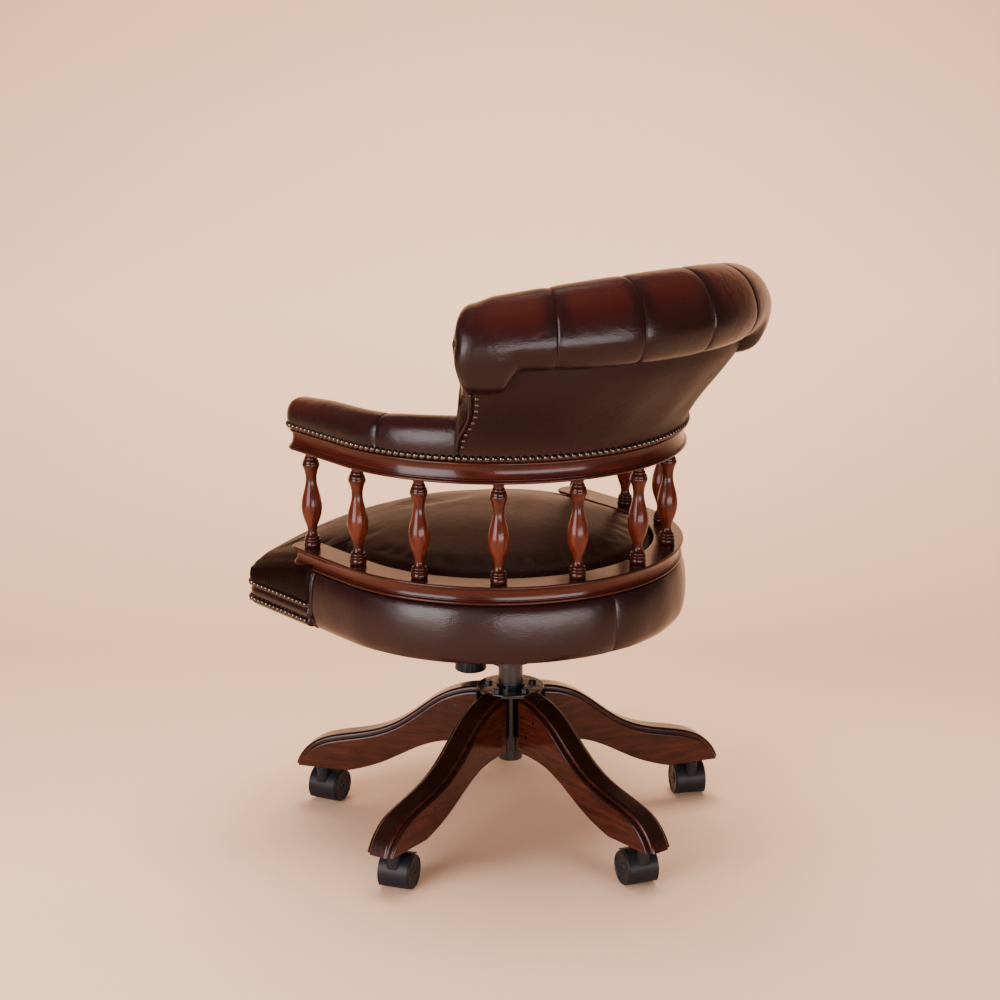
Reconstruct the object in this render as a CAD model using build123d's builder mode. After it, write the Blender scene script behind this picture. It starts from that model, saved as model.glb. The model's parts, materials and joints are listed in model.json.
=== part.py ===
"""Captain's swivel desk chair: wooden five-leg base on casters, gas lift, tilting seat, turned gallery.

Millimetres, +Z up. The origin is on the floor under the swivel axis, and the sitter faces -Y.
"""

import math
import os

from build123d import *

os.makedirs("parts", exist_ok=True)

# Base: five legs round a steel hub.
LEG_COUNT = 5
LEG_TURN = 17.4
LEG_THICK = 45
LEG_INNER = 46
LEG_FOOT = 66
CROWN_HALF = 15.5
SHOULDER_DROP = 6
CROWN = [(46, 217.5), (75, 212), (105, 199), (145, 169), (182, 144), (220, 129.5), (272, 117.5)]
CROWN += [(303, 105.5), (324, 87), (335, LEG_FOOT)]
UNDERSIDE = [(248, LEG_FOOT), (226, 72.5), (190, 87), (145, 111.5), (108, 126.5), (72, 131.5), (46, 132)]
FIN_THICK = 6
FIN_REACH = 90
FIN_LOW = 145
FIN_HIGH = 205
PIN_RADIUS = 3
PIN_SPOTS = [(64, 160), (80, 186)]
HUB_RADIUS = 21
HUB_LOW = 122
PLATE_RADIUS = 50
PLATE_LOW = 214
PLATE_HIGH = 219
BOLT_CIRCLE = 34

# Lift column.
STAND_RADIUS = 18
STAND_LOW = 105
STAND_HIGH = 256
STAND_FLOOR = 4
CYLINDER_RADIUS = 14
CYLINDER_LOW = 130
CYLINDER_HIGH = 292
CYLINDER_BORE = 11
GUIDE_LENGTH = 15
ROD_RADIUS = 5
ROD_HIGH = 262
SLIDE_GAP = 0.05

# Casters: twin wheels on a hood that trails behind its stem.
STEM_CIRCLE = 297
STEM_RADIUS = 5
STEM_LOW = 41
SOCKET_RADIUS = 6.5
SOCKET_HIGH = 100
CASTER_TRAIL = 20
CASTER_HEADINGS = [211, 254, 243, 225, 204]
WHEEL_RADIUS = 25
WHEEL_INNER = 10.3
WHEEL_OUTER = 23.8
AXLE_RADIUS = 3
HOOD_HIGH = 60

# Tilt mechanism under the seat.
BOX_LOW = 262
BOX_HIGH = 300
BOX_HALF = 42
BOX_FRONT = -75
BOX_BACK = 40
TILT_Y = -50
TILT_Z = 286
TILT_RADIUS = 6
KNOB_Y = -95
KNOB_LOW = 218
KNOB_HIGH = 244
KNOB_RADIUS = 24
LUG_LOW = 276
LUG_HIGH = 284
LEVER_X = -34
LEVER_Y = 10
LEVER_Z = 288
LEVER_END = -24

# Seat and gallery: everything follows a ring whose back half is round and whose arms run straight.
RING_Y = -32
RING_RADIUS = 250.5
SEAT_FLOOR = 330
BOARD_THICK = 15
RIM_HALF = 252
RIM_WIDTH = 14
RIM_FRONT = -276
RIM_STEP_Y = -180
RIM_STEP_Z = 385
SIDE_SEAM = -116
SEAT_HALF = 278
SEAT_FRONT = -284
SEAT_BOW = 14
SEAT_CORNER = 28
SKIRT_LOW = 338
DOME_HIGH = 478
DOME_RADIUS = 881
DOME_Y = -40
LOWER_LOW = 417.9
LOWER_HIGH = 444.7
UPPER_LOW = 588.2
UPPER_HIGH = 618.1
RAIL_END = -155
SPINDLE_PITCH = 112
SPINDLE_COUNT = 10
TENON_RADIUS = 5
TENON_LENGTH = 12
SOFT_GAP = 0.3

# Back and arm pads.
BACK_HALF_ANGLE = 46
BACK_SKIN = [(274.5, 618.4), (274.5, 631), (288, 655), (304, 678), (321.5, 700), (338, 722)]
BACK_SKIN += [(350, 742), (356, 758)]
SKIN_WIDTH = 3.8
FRAME_WIDTH = 13
FRAME_HALF_ANGLE = 40
PAD_LOW = 618.4
PAD_HIGH = 667
PAD_HALF = 24
PAD_END_ANGLE = 50.3
NAIL_PITCH = 10
NAIL_RADIUS = 4.5
NAIL_HEIGHT = 2.7
BUTTON_STEP = 9.1

UP = (0, 0, 1)


def save(builder, name):
    """Label a finished piece and write it as a STEP file of the same name."""
    builder.part.label = name
    export_step(builder.part, f"parts/{name}.step")


def upright_plane(x, y, angle):
    """Vertical plane through (x, y): local X runs along the compass angle, local Y runs up."""
    turn = math.radians(angle)
    along = (math.cos(turn), math.sin(turn), 0)
    return Plane(origin=(x, y, 0), x_dir=along, z_dir=(along[1], -along[0], 0))


def on_circle(radius, angle):
    """Point at a radius and compass angle round the swivel axis."""
    turn = math.radians(angle)
    return radius * math.cos(turn), radius * math.sin(turn)


def inset(points, distance):
    """Move each point of an outline square to its own direction, to the left of the walk when positive."""
    moved = []
    for index, (x, y) in enumerate(points):
        before = points[max(index - 1, 0)]
        after = points[min(index + 1, len(points) - 1)]
        run = math.dist(before, after)
        across = (before[1] - after[1]) / run, (after[0] - before[0]) / run
        moved.append((x + across[0] * distance, y + across[1] * distance))
    return moved


LEG_ANGLES = [LEG_TURN + 360 / LEG_COUNT * number for number in range(LEG_COUNT)]


# ---------------------------------------------------------------- base


def make_leg(number, angle):
    """One S-curved leg: a flat-sided body, and a prouder rounded crown along its top and nose."""
    side = upright_plane(0, 0, angle)
    shoulder = inset(CROWN, -SHOULDER_DROP)
    shoulder[0] = (LEG_INNER, shoulder[0][1])
    shoulder[-1] = (shoulder[-1][0], LEG_FOOT)
    crown_foot = inset(CROWN, -3 * SHOULDER_DROP)
    crown_foot[0] = (LEG_INNER, crown_foot[0][1])
    crown_foot[-1] = (crown_foot[-1][0], LEG_FOOT)
    with BuildPart() as crown:
        with BuildSketch(side):
            with BuildLine():
                Spline(*CROWN)
                Line(CROWN[-1], crown_foot[-1])
                Spline(*reversed(crown_foot))
                Line(crown_foot[0], CROWN[0])
            make_face()
        extrude(amount=CROWN_HALF, both=True)
        fillet(crown.edges().filter_by(GeomType.BSPLINE).sort_by(Axis.Z)[-2:], radius=4.5)
    with BuildPart() as leg:
        with BuildSketch(side):
            with BuildLine():
                Spline(*shoulder)
                Line(shoulder[-1], UNDERSIDE[0])
                Spline(*UNDERSIDE)
                Line(UNDERSIDE[-1], shoulder[0])
            make_face()
        extrude(amount=LEG_THICK / 2, both=True)
        fillet(leg.edges().filter_by(GeomType.BSPLINE).sort_by(Axis.Z)[-2:], radius=3.5)
        add(crown.part)
        with Locations((0, 0, PLATE_LOW - 0.1)):
            Cylinder(PLATE_RADIUS + 0.3, 20, align=(Align.CENTER, Align.CENTER, Align.MIN), mode=Mode.SUBTRACT)
        with BuildSketch(side):
            with Locations(((LEG_INNER + FIN_REACH) / 2, (FIN_LOW + FIN_HIGH) / 2)):
                Rectangle(FIN_REACH - LEG_INNER + 2, FIN_HIGH - FIN_LOW + 2)
        extrude(amount=FIN_THICK / 2 + 0.1, both=True, mode=Mode.SUBTRACT)
        with BuildSketch(side):
            with Locations(*PIN_SPOTS):
                Circle(PIN_RADIUS + SLIDE_GAP)
        extrude(amount=LEG_THICK, both=True, mode=Mode.SUBTRACT)
        with Locations((*on_circle(STEM_CIRCLE, angle), LEG_FOOT)):
            Cylinder(
                SOCKET_RADIUS + 0.1,
                SOCKET_HIGH - LEG_FOOT + 0.5,
                align=(Align.CENTER, Align.CENTER, Align.MIN),
                mode=Mode.SUBTRACT,
            )
    save(leg, f"leg_{number}")


def make_hub_tube():
    """Steel barrel with a flat fin for each leg's slot and a threaded boss for each plate bolt."""
    with BuildPart() as hub_tube:
        with BuildSketch(Plane.XY.offset(HUB_LOW)):
            Circle(HUB_RADIUS)
        extrude(amount=PLATE_LOW - HUB_LOW)
        for angle in LEG_ANGLES:
            with BuildSketch(upright_plane(0, 0, angle)):
                with Locations(((HUB_RADIUS + FIN_REACH - 2) / 2, (FIN_LOW + FIN_HIGH) / 2)):
                    Rectangle(FIN_REACH - HUB_RADIUS + 2, FIN_HIGH - FIN_LOW)
                with Locations(*PIN_SPOTS):
                    Circle(PIN_RADIUS + SLIDE_GAP, mode=Mode.SUBTRACT)
            extrude(amount=FIN_THICK / 2, both=True)
            with BuildSketch(Plane.XY.offset(PLATE_LOW - 24)):
                with Locations(on_circle(BOLT_CIRCLE, angle)):
                    Circle(7)
            extrude(amount=24)
        for angle in LEG_ANGLES:
            with BuildSketch(Plane.XY.offset(PLATE_LOW - 20)):
                with Locations(on_circle(BOLT_CIRCLE, angle)):
                    Circle(3.1)
            extrude(amount=20, mode=Mode.SUBTRACT)
        with BuildSketch(Plane.XY.offset(HUB_LOW)):
            Circle(STAND_RADIUS + SLIDE_GAP)
        extrude(amount=PLATE_LOW - HUB_LOW, mode=Mode.SUBTRACT)
    save(hub_tube, "hub_tube")


def make_hub_plate():
    """Round steel plate that covers the legs' inner ends, with a raised collar round the column."""
    with BuildPart() as hub_plate:
        with BuildSketch(Plane.XY.offset(PLATE_LOW)):
            Circle(PLATE_RADIUS)
        extrude(amount=PLATE_HIGH - PLATE_LOW)
        fillet(hub_plate.faces().sort_by(Axis.Z)[-1].edges(), radius=1.5)
        with BuildSketch(Plane.XY.offset(PLATE_HIGH)):
            Circle(HUB_RADIUS)
        extrude(amount=4)
        with BuildSketch(Plane.XY.offset(PLATE_LOW)):
            Circle(STAND_RADIUS + SLIDE_GAP)
            for angle in LEG_ANGLES:
                with Locations(on_circle(BOLT_CIRCLE, angle)):
                    Circle(3.1)
        extrude(amount=PLATE_HIGH, mode=Mode.SUBTRACT)
    save(hub_plate, "hub_plate")


def make_hub_fasteners():
    """Plate bolts with domed hexagon heads, and the cross pins that hold each leg on its fin."""
    with BuildPart() as hub_fasteners:
        for angle in LEG_ANGLES:
            with BuildSketch(Plane.XY.offset(PLATE_HIGH)):
                with Locations(on_circle(BOLT_CIRCLE, angle)):
                    RegularPolygon(6, 6)
            extrude(amount=4)
            with BuildSketch(Plane.XY.offset(PLATE_LOW - 18)):
                with Locations(on_circle(BOLT_CIRCLE, angle)):
                    Circle(3)
            extrude(amount=18 + PLATE_HIGH - PLATE_LOW)
        chamfer(hub_fasteners.faces().group_by(Axis.Z)[-1].edges(), length=0.8)
        for angle in LEG_ANGLES:
            with BuildSketch(upright_plane(0, 0, angle)):
                with Locations(*PIN_SPOTS):
                    Circle(PIN_RADIUS)
            extrude(amount=LEG_THICK / 2 - 0.5, both=True)
    save(hub_fasteners, "hub_fasteners")


def make_lift():
    """Stand tube, the cylinder that slides in it, and the rod, bearing and clip that it turns on."""
    wall_gap = CYLINDER_RADIUS + SLIDE_GAP
    with BuildPart() as stand_tube:
        with BuildSketch(Plane.XY.offset(STAND_LOW)):
            Circle(STAND_RADIUS)
        extrude(amount=STAND_HIGH - STAND_LOW)
        chamfer(stand_tube.edges(), length=1.2)
        with BuildSketch(Plane.XY.offset(STAND_LOW + STAND_FLOOR)):
            Circle(wall_gap)
        extrude(amount=STAND_HIGH - STAND_LOW, mode=Mode.SUBTRACT)
        with BuildSketch(Plane.XY.offset(STAND_LOW)):
            Circle(ROD_RADIUS + SLIDE_GAP)
        extrude(amount=STAND_FLOOR, mode=Mode.SUBTRACT)
    save(stand_tube, "stand_tube")

    with BuildPart() as gas_cylinder:
        with BuildSketch(Plane.XY.offset(CYLINDER_LOW)):
            Circle(CYLINDER_RADIUS)
        extrude(amount=CYLINDER_HIGH - CYLINDER_LOW)
        chamfer(gas_cylinder.edges(), length=1)
        with BuildSketch(Plane.XY.offset(CYLINDER_LOW)):
            Circle(ROD_RADIUS + SLIDE_GAP)
        extrude(amount=GUIDE_LENGTH, mode=Mode.SUBTRACT)
        with BuildSketch(Plane.XY.offset(CYLINDER_LOW + GUIDE_LENGTH)):
            Circle(CYLINDER_BORE)
        extrude(amount=CYLINDER_HIGH - CYLINDER_LOW - GUIDE_LENGTH - 12, mode=Mode.SUBTRACT)
    save(gas_cylinder, "gas_cylinder")

    with BuildPart() as piston_rod:
        with BuildSketch(Plane.XY.offset(STAND_LOW - 3)):
            Circle(ROD_RADIUS)
        extrude(amount=ROD_HIGH - STAND_LOW + 3)
        with BuildSketch(Plane.XY.offset(ROD_HIGH - 12)):
            Circle(CYLINDER_BORE - SLIDE_GAP)
        extrude(amount=12)
    save(piston_rod, "piston_rod")

    with BuildPart() as rod_washers:
        with BuildSketch(Plane.XY.offset(STAND_LOW + STAND_FLOOR)):
            Circle(12)
            Circle(ROD_RADIUS + SLIDE_GAP, mode=Mode.SUBTRACT)
        extrude(amount=5)
        with BuildSketch(Plane.XY.offset(STAND_LOW - 1.3)):
            Circle(9)
            Circle(ROD_RADIUS, mode=Mode.SUBTRACT)
        extrude(amount=1.2)
    save(rod_washers, "rod_washers")


# ---------------------------------------------------------------- casters


def make_caster_hardware():
    """Steel stems in the sleeves pressed into the legs, each with a flange under its foot."""
    upward = (Align.CENTER, Align.CENTER, Align.MIN)
    with BuildPart() as caster_stems:
        for angle in LEG_ANGLES:
            x, y = on_circle(STEM_CIRCLE, angle)
            with Locations((x, y, STEM_LOW)):
                Cylinder(STEM_RADIUS, LEG_FOOT - STEM_LOW, align=upward)
            with Locations((x, y, HOOD_HIGH + 0.6)):
                Cylinder(9, LEG_FOOT - HOOD_HIGH - 0.6, align=upward)
            with Locations((x, y, LEG_FOOT)):
                Cylinder(SOCKET_RADIUS, SOCKET_HIGH - LEG_FOOT, align=upward)
    save(caster_stems, "caster_stems")


def make_hood(number, x, y, heading):
    """Caster hood: central web, fender on the stem side, stem boss, and the steel axle through it."""
    side = upright_plane(x, y, heading)
    centre = (CASTER_TRAIL, WHEEL_RADIUS)
    fender_outer = WHEEL_RADIUS + 2.8
    with BuildPart() as hood:
        with BuildSketch(side):
            with Locations(centre):
                Circle(fender_outer)
            with Locations((CASTER_TRAIL, -8)):
                Rectangle(80, 36, mode=Mode.SUBTRACT)
        extrude(amount=8.6, both=True)
        with BuildSketch(side):
            with BuildLine():
                outer = CenterArc(centre, fender_outer, 62, 158)
                inner = CenterArc(centre, WHEEL_RADIUS + 0.7, 62, 158)
                Line(outer @ 0, inner @ 0)
                Line(outer @ 1, inner @ 1)
            make_face()
        extrude(amount=22, both=True)
        with BuildSketch(Plane.XY.offset(36)):
            with Locations((x, y)):
                Circle(9.4)
        extrude(amount=HOOD_HIGH - 36)
        fillet(hood.faces().sort_by(Axis.Z)[-1].edges(), radius=2)
        with BuildSketch(Plane.XY.offset(STEM_LOW - 1)):
            with Locations((x, y)):
                Circle(STEM_RADIUS + SLIDE_GAP)
        extrude(amount=HOOD_HIGH - STEM_LOW + 2, mode=Mode.SUBTRACT)
        with BuildSketch(side):
            with Locations(centre):
                Circle(AXLE_RADIUS + SLIDE_GAP)
        extrude(amount=30, both=True, mode=Mode.SUBTRACT)
        with BuildSketch(side):
            with Locations(centre):
                Circle(AXLE_RADIUS)
        extrude(amount=WHEEL_OUTER - 1.2, both=True)
    save(hood, f"caster_hood_{number}")


def make_wheel(name, x, y, heading, hand):
    """Nylon wheel: rounded tread, and an outer face with a rim, a shallow dish and a hub cap."""
    turn = math.radians(heading)
    along = Vector(math.cos(turn), math.sin(turn), 0)
    outward = Vector(math.sin(turn), -math.cos(turn), 0) * hand
    hub = Vector(x, y, WHEEL_RADIUS) + along * CASTER_TRAIL
    section = Plane(origin=hub, x_dir=outward, z_dir=outward.cross(Vector(*UP)))
    bore = AXLE_RADIUS + SLIDE_GAP
    with BuildPart() as wheel:
        with BuildSketch(section):
            with BuildLine():
                Polyline(
                    (WHEEL_INNER, bore),
                    (WHEEL_INNER, WHEEL_RADIUS - 1.5),
                    (WHEEL_INNER + 1.5, WHEEL_RADIUS),
                    (WHEEL_OUTER - 3, WHEEL_RADIUS),
                )
                RadiusArc((WHEEL_OUTER - 3, WHEEL_RADIUS), (WHEEL_OUTER, WHEEL_RADIUS - 3), 3)
                Polyline(
                    (WHEEL_OUTER, WHEEL_RADIUS - 3),
                    (WHEEL_OUTER, 20.5),
                    (WHEEL_OUTER - 1, 19.5),
                    (WHEEL_OUTER - 1.6, 9),
                    (WHEEL_OUTER - 0.3, 7.5),
                    (WHEEL_OUTER - 0.3, bore),
                    (WHEEL_INNER, bore),
                )
            make_face()
        revolve(axis=Axis(hub, outward))
    save(wheel, name)


# ---------------------------------------------------------------- tilt mechanism


def make_mechanism_box():
    """Cast box: cylinder seat, tilt axle bore, lever slot, and a slotted lug for the tension spring."""
    with BuildPart() as mechanism_box:
        with BuildSketch(Plane.XY.offset(BOX_LOW)):
            with Locations((0, (BOX_FRONT + BOX_BACK) / 2)):
                Rectangle(2 * BOX_HALF, BOX_BACK - BOX_FRONT)
        extrude(amount=BOX_HIGH - BOX_LOW)
        fillet(mechanism_box.edges().filter_by(Axis.Z), radius=8)
        with BuildSketch(Plane.XY.offset(LUG_LOW)):
            with Locations((0, (BOX_FRONT + KNOB_Y - 18) / 2)):
                Rectangle(40, BOX_FRONT - KNOB_Y + 18)
        extrude(amount=LUG_HIGH - LUG_LOW)
        with BuildSketch(Plane.XY.offset(LUG_LOW)):
            with Locations((0, KNOB_Y - 2)):
                SlotCenterToCenter(8, 11, rotation=90)
        extrude(amount=LUG_HIGH - LUG_LOW, mode=Mode.SUBTRACT)
        with BuildSketch(Plane.XY.offset(BOX_LOW)):
            Circle(CYLINDER_RADIUS + SLIDE_GAP)
        extrude(amount=CYLINDER_HIGH - BOX_LOW + 0.5, mode=Mode.SUBTRACT)
        with BuildSketch(Plane.YZ):
            with Locations((TILT_Y, TILT_Z)):
                Circle(TILT_RADIUS + SLIDE_GAP)
        extrude(amount=2 * BOX_HALF, both=True, mode=Mode.SUBTRACT)
        with BuildSketch(Plane.XY.offset(LEVER_Z - 8)):
            with Locations((LEVER_X - 2, LEVER_Y)):
                Rectangle(28, 14)
        extrude(amount=30, mode=Mode.SUBTRACT)
        with BuildSketch(Plane.XZ.offset(-LEVER_Y)):
            with Locations((LEVER_X, LEVER_Z)):
                Circle(2.55)
        extrude(amount=16, both=True, mode=Mode.SUBTRACT)
    save(mechanism_box, "mechanism_box")


def make_tilt_parts():
    """Tilt axle and lever pin, then the tension spring and ribbed knob that balance the sitter."""
    with BuildPart() as mechanism_pins:
        with BuildSketch(Plane.YZ):
            with Locations((TILT_Y, TILT_Z)):
                Circle(TILT_RADIUS)
        extrude(amount=58, both=True)
        chamfer(mechanism_pins.edges(), length=1)
        with BuildSketch(Plane.XZ.offset(-LEVER_Y)):
            with Locations((LEVER_X, LEVER_Z)):
                Circle(2.5)
        extrude(amount=15, both=True)
    save(mechanism_pins, "mechanism_pins")

    wire = 2
    coil = 13
    with BuildPart() as tilt_spring:
        with BuildLine():
            Helix(
                pitch=6.2,
                height=LUG_LOW - KNOB_HIGH - 2 * wire - 1,
                radius=coil,
                center=(0, KNOB_Y, KNOB_HIGH + wire + 0.5),
            )
        with BuildSketch(Plane(origin=(coil, KNOB_Y, KNOB_HIGH + wire + 0.5), z_dir=(0, 1, 0.08))):
            Circle(wire)
        sweep(is_frenet=True)
    save(tilt_spring, "tilt_spring")

    with BuildPart() as tension_knob:
        with BuildSketch(Plane.XY.offset(KNOB_LOW)):
            with Locations((0, KNOB_Y)):
                Circle(KNOB_RADIUS)
        extrude(amount=KNOB_HIGH - KNOB_LOW, taper=4)
        fillet(tension_knob.faces().sort_by(Axis.Z)[0].edges(), radius=3)
        with BuildSketch(Plane.XY.offset(KNOB_LOW)):
            with Locations((0, KNOB_Y)):
                with PolarLocations(KNOB_RADIUS + 1.2, 18):
                    Circle(2.6)
        extrude(amount=KNOB_HIGH - KNOB_LOW, mode=Mode.SUBTRACT)
        with BuildSketch(Plane.XY.offset(KNOB_LOW + 7)):
            with Locations((0, KNOB_Y)):
                Circle(4.5 + SLIDE_GAP)
        extrude(amount=KNOB_HIGH - KNOB_LOW, mode=Mode.SUBTRACT)
    save(tension_knob, "tension_knob")


def make_lever():
    """Height lever on the sitter's right: a steel rod on a cross pin, with a moulded paddle."""
    with BuildPart() as lift_lever:
        with BuildSketch(Plane.YZ.offset(-152)):
            with Locations((LEVER_Y, LEVER_Z)):
                Circle(4)
        extrude(amount=152 + LEVER_END)
        with BuildSketch(Plane.XZ.offset(-LEVER_Y)):
            with Locations((LEVER_X, LEVER_Z)):
                Circle(5.5)
        extrude(amount=4, both=True)
        with BuildSketch(Plane.XZ.offset(-LEVER_Y)):
            with Locations((LEVER_X, LEVER_Z)):
                Circle(2.55)
        extrude(amount=8, both=True, mode=Mode.SUBTRACT)
    save(lift_lever, "lift_lever")

    with BuildPart() as lever_handle:
        with BuildSketch(Plane.XY.offset(LEVER_Z - 6)):
            with Locations((-182, LEVER_Y)):
                SlotOverall(90, 26)
        extrude(amount=12)
        fillet(lever_handle.edges(), radius=4)
        with BuildSketch(Plane.YZ.offset(-152)):
            with Locations((LEVER_Y, LEVER_Z)):
                Circle(4.1)
        extrude(amount=40, mode=Mode.SUBTRACT)
    save(lever_handle, "lever_handle")


def make_seat_bracket():
    """Plate under the seat board with two cheeks on the tilt axle, its screws and the tension bolt."""
    screw_spots = [(x, y) for x in (-70, 70) for y in (-100, 60)]
    plate_low = SEAT_FLOOR - 6
    with BuildPart() as seat_bracket:
        with BuildSketch(Plane.XY.offset(plate_low)):
            with Locations((0, -20)):
                RectangleRounded(170, 190, 12)
            with Locations(*screw_spots):
                Circle(3.1, mode=Mode.SUBTRACT)
        extrude(amount=6)
        for side in (-1, 1):
            with BuildSketch(Plane.YZ.offset(side * 48)):
                with BuildLine():
                    arch = CenterArc((TILT_Y, TILT_Z), 13, 180, 180)
                    Polyline(arch @ 1, (TILT_Y + 24, plate_low), (TILT_Y - 24, plate_low), arch @ 0)
                make_face()
                with Locations((TILT_Y, TILT_Z)):
                    Circle(TILT_RADIUS + SLIDE_GAP, mode=Mode.SUBTRACT)
            extrude(amount=2, both=True)
    save(seat_bracket, "seat_bracket")

    downward = (Align.CENTER, Align.CENTER, Align.MAX)
    with BuildPart() as bracket_fasteners:
        for x, y in screw_spots:
            with Locations((x, y, plate_low)):
                Cylinder(6, 3, align=downward)
                Cylinder(3, 18, align=(Align.CENTER, Align.CENTER, Align.MIN))
        with Locations((0, KNOB_Y, plate_low)):
            Cylinder(9, 5, align=downward)
            Cylinder(4.5, plate_low - KNOB_LOW - 8, align=downward)
    save(bracket_fasteners, "bracket_fasteners")
    return screw_spots


# ---------------------------------------------------------------- seat


def seat_outline(half, front, bow=0):
    """Draw the D-shaped plan of the seat: round back, straight sides, and a slightly bowed front."""
    CenterArc((0, RING_Y), half, 0, 180)
    Line((-half, RING_Y), (-half, front))
    if bow:
        ThreePointArc((-half, front), (0, front - bow), (half, front))
    else:
        Line((-half, front), (half, front))
    Line((half, front), (half, RING_Y))


def make_seat_wood(screw_spots):
    """Plywood seat board, the bent rim on it, stepped down under the seat's front, and the cover."""
    with BuildPart() as seat_board:
        with BuildSketch(Plane.XY.offset(SEAT_FLOOR)):
            with BuildLine():
                seat_outline(RIM_HALF, RIM_FRONT)
            make_face()
            with Locations(*screw_spots):
                Circle(3.1, mode=Mode.SUBTRACT)
        extrude(amount=BOARD_THICK)
    save(seat_board, "seat_board")
    with BuildPart() as seat_rim:
        with BuildSketch(Plane.XY.offset(SEAT_FLOOR + BOARD_THICK)):
            with BuildLine():
                seat_outline(RIM_HALF, RIM_FRONT)
            make_face()
            offset(amount=-RIM_WIDTH, mode=Mode.SUBTRACT)
        extrude(amount=LOWER_LOW - SEAT_FLOOR - BOARD_THICK - 0.2)
        with BuildSketch(Plane.XY.offset(RIM_STEP_Z)):
            with Locations((0, RIM_STEP_Y + SOFT_GAP)):
                Rectangle(2 * SEAT_HALF, 150, align=(Align.CENTER, Align.MAX))
        extrude(amount=50, mode=Mode.SUBTRACT)
    save(seat_rim, "seat_rim")
    with BuildPart() as dust_cover:
        with BuildSketch(Plane.XY.offset(SEAT_FLOOR - 1.1)):
            with BuildLine():
                seat_outline(RIM_HALF - 4, RIM_FRONT + 6)
            make_face()
            with Locations((0, -20)):
                Rectangle(176, 196, mode=Mode.SUBTRACT)
        extrude(amount=1)
    save(dust_cover, "dust_cover")


def make_seat_cushion():
    """Domed seat that fills the rim, flows over the front corners and hangs down as a skirt."""
    rim_inside = RIM_HALF - RIM_WIDTH - SOFT_GAP
    rail_inside = RING_RADIUS - 22 - 2 * SOFT_GAP
    with BuildPart() as seat_cushion:
        with BuildSketch(Plane.XY.offset(SEAT_FLOOR + BOARD_THICK + SOFT_GAP)):
            with BuildLine():
                seat_outline(rim_inside, RIM_FRONT + RIM_WIDTH + SOFT_GAP)
            make_face()
        extrude(amount=LOWER_LOW - SEAT_FLOOR - BOARD_THICK - SOFT_GAP)
        with BuildSketch(Plane.XY.offset(LOWER_LOW)):
            with BuildLine():
                seat_outline(rail_inside, SEAT_FRONT + 20)
            make_face()
        extrude(amount=70)
        with BuildSketch(Plane.XY.offset(RIM_STEP_Z + SOFT_GAP)) as front_plan:
            with BuildLine():
                seat_outline(SEAT_HALF, SEAT_FRONT, SEAT_BOW)
            make_face()
            fillet(front_plan.vertices().group_by(Axis.Y)[0], SEAT_CORNER)
            with Locations((0, RIM_STEP_Y)):
                Rectangle(900, 900, align=(Align.CENTER, Align.MIN), mode=Mode.SUBTRACT)
        extrude(amount=100)
        with BuildSketch(Plane.XY.offset(SKIRT_LOW)) as skirt_plan:
            with BuildLine():
                seat_outline(SEAT_HALF, SEAT_FRONT, SEAT_BOW)
            make_face()
            fillet(skirt_plan.vertices().group_by(Axis.Y)[0], SEAT_CORNER)
            with BuildLine():
                seat_outline(RIM_HALF + SOFT_GAP, RIM_FRONT - SOFT_GAP)
            make_face(mode=Mode.SUBTRACT)
            with Locations((0, SIDE_SEAM - 1)):
                Rectangle(900, 900, align=(Align.CENTER, Align.MIN), mode=Mode.SUBTRACT)
        extrude(amount=LOWER_LOW - SKIRT_LOW - SOFT_GAP)
        with Locations((0, DOME_Y, DOME_HIGH - DOME_RADIUS)):
            Sphere(DOME_RADIUS, mode=Mode.INTERSECT)
    save(seat_cushion, "seat_cushion")


def make_seat_apron():
    """Padded leather border under the lower rail, bulged and tucked under at its bottom edge."""
    inner = RIM_HALF + SOFT_GAP
    high = LOWER_LOW - SOFT_GAP
    with BuildPart() as seat_apron:
        with BuildLine() as path:
            Line((RIM_HALF, SIDE_SEAM), (RIM_HALF, RING_Y))
            CenterArc((0, RING_Y), RIM_HALF, 0, 180)
            Line((-RIM_HALF, RING_Y), (-RIM_HALF, SIDE_SEAM))
        with BuildSketch(upright_plane(0, SIDE_SEAM, 0)):
            with BuildLine():
                Spline((272, high), (275.5, 392), (276.5, 365), (273, 344), (262, 331.5), (inner, 329.5))
                Polyline((inner, 329.5), (inner, high), (272, high))
            make_face()
        sweep(path=path.wire())
    save(seat_apron, "seat_apron")


# ---------------------------------------------------------------- gallery


def half_moulding(low, high, low_half, high_half):
    """Draw half of a rail's section: a double bead below, a cove, and one bead above."""
    bead = 2.2
    reed = 1.3
    low_in = low_half - bead
    high_in = high_half - bead
    reed_low = low + 2 * bead
    cove_low = (low_in - reed, reed_low + 2 * reed)
    cove_high = (high_in - 1.2, high - 2 * bead - 0.6)
    hollow = ((cove_low[0] + cove_high[0]) / 2 - 1.6, (cove_low[1] + cove_high[1]) / 2)
    Line((0, low), (low_in, low))
    ThreePointArc((low_in, low), (low_half, low + bead), (low_in, reed_low))
    Line((low_in, reed_low), (low_in - reed, reed_low))
    ThreePointArc((low_in - reed, reed_low), (low_in, reed_low + reed), cove_low)
    ThreePointArc(cove_low, hollow, cove_high)
    Line(cove_high, (high_in, high - 2 * bead))
    ThreePointArc((high_in, high - 2 * bead), (high_half, high - bead), (high_in, high))
    Line((high_in, high), (0, high))


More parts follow.
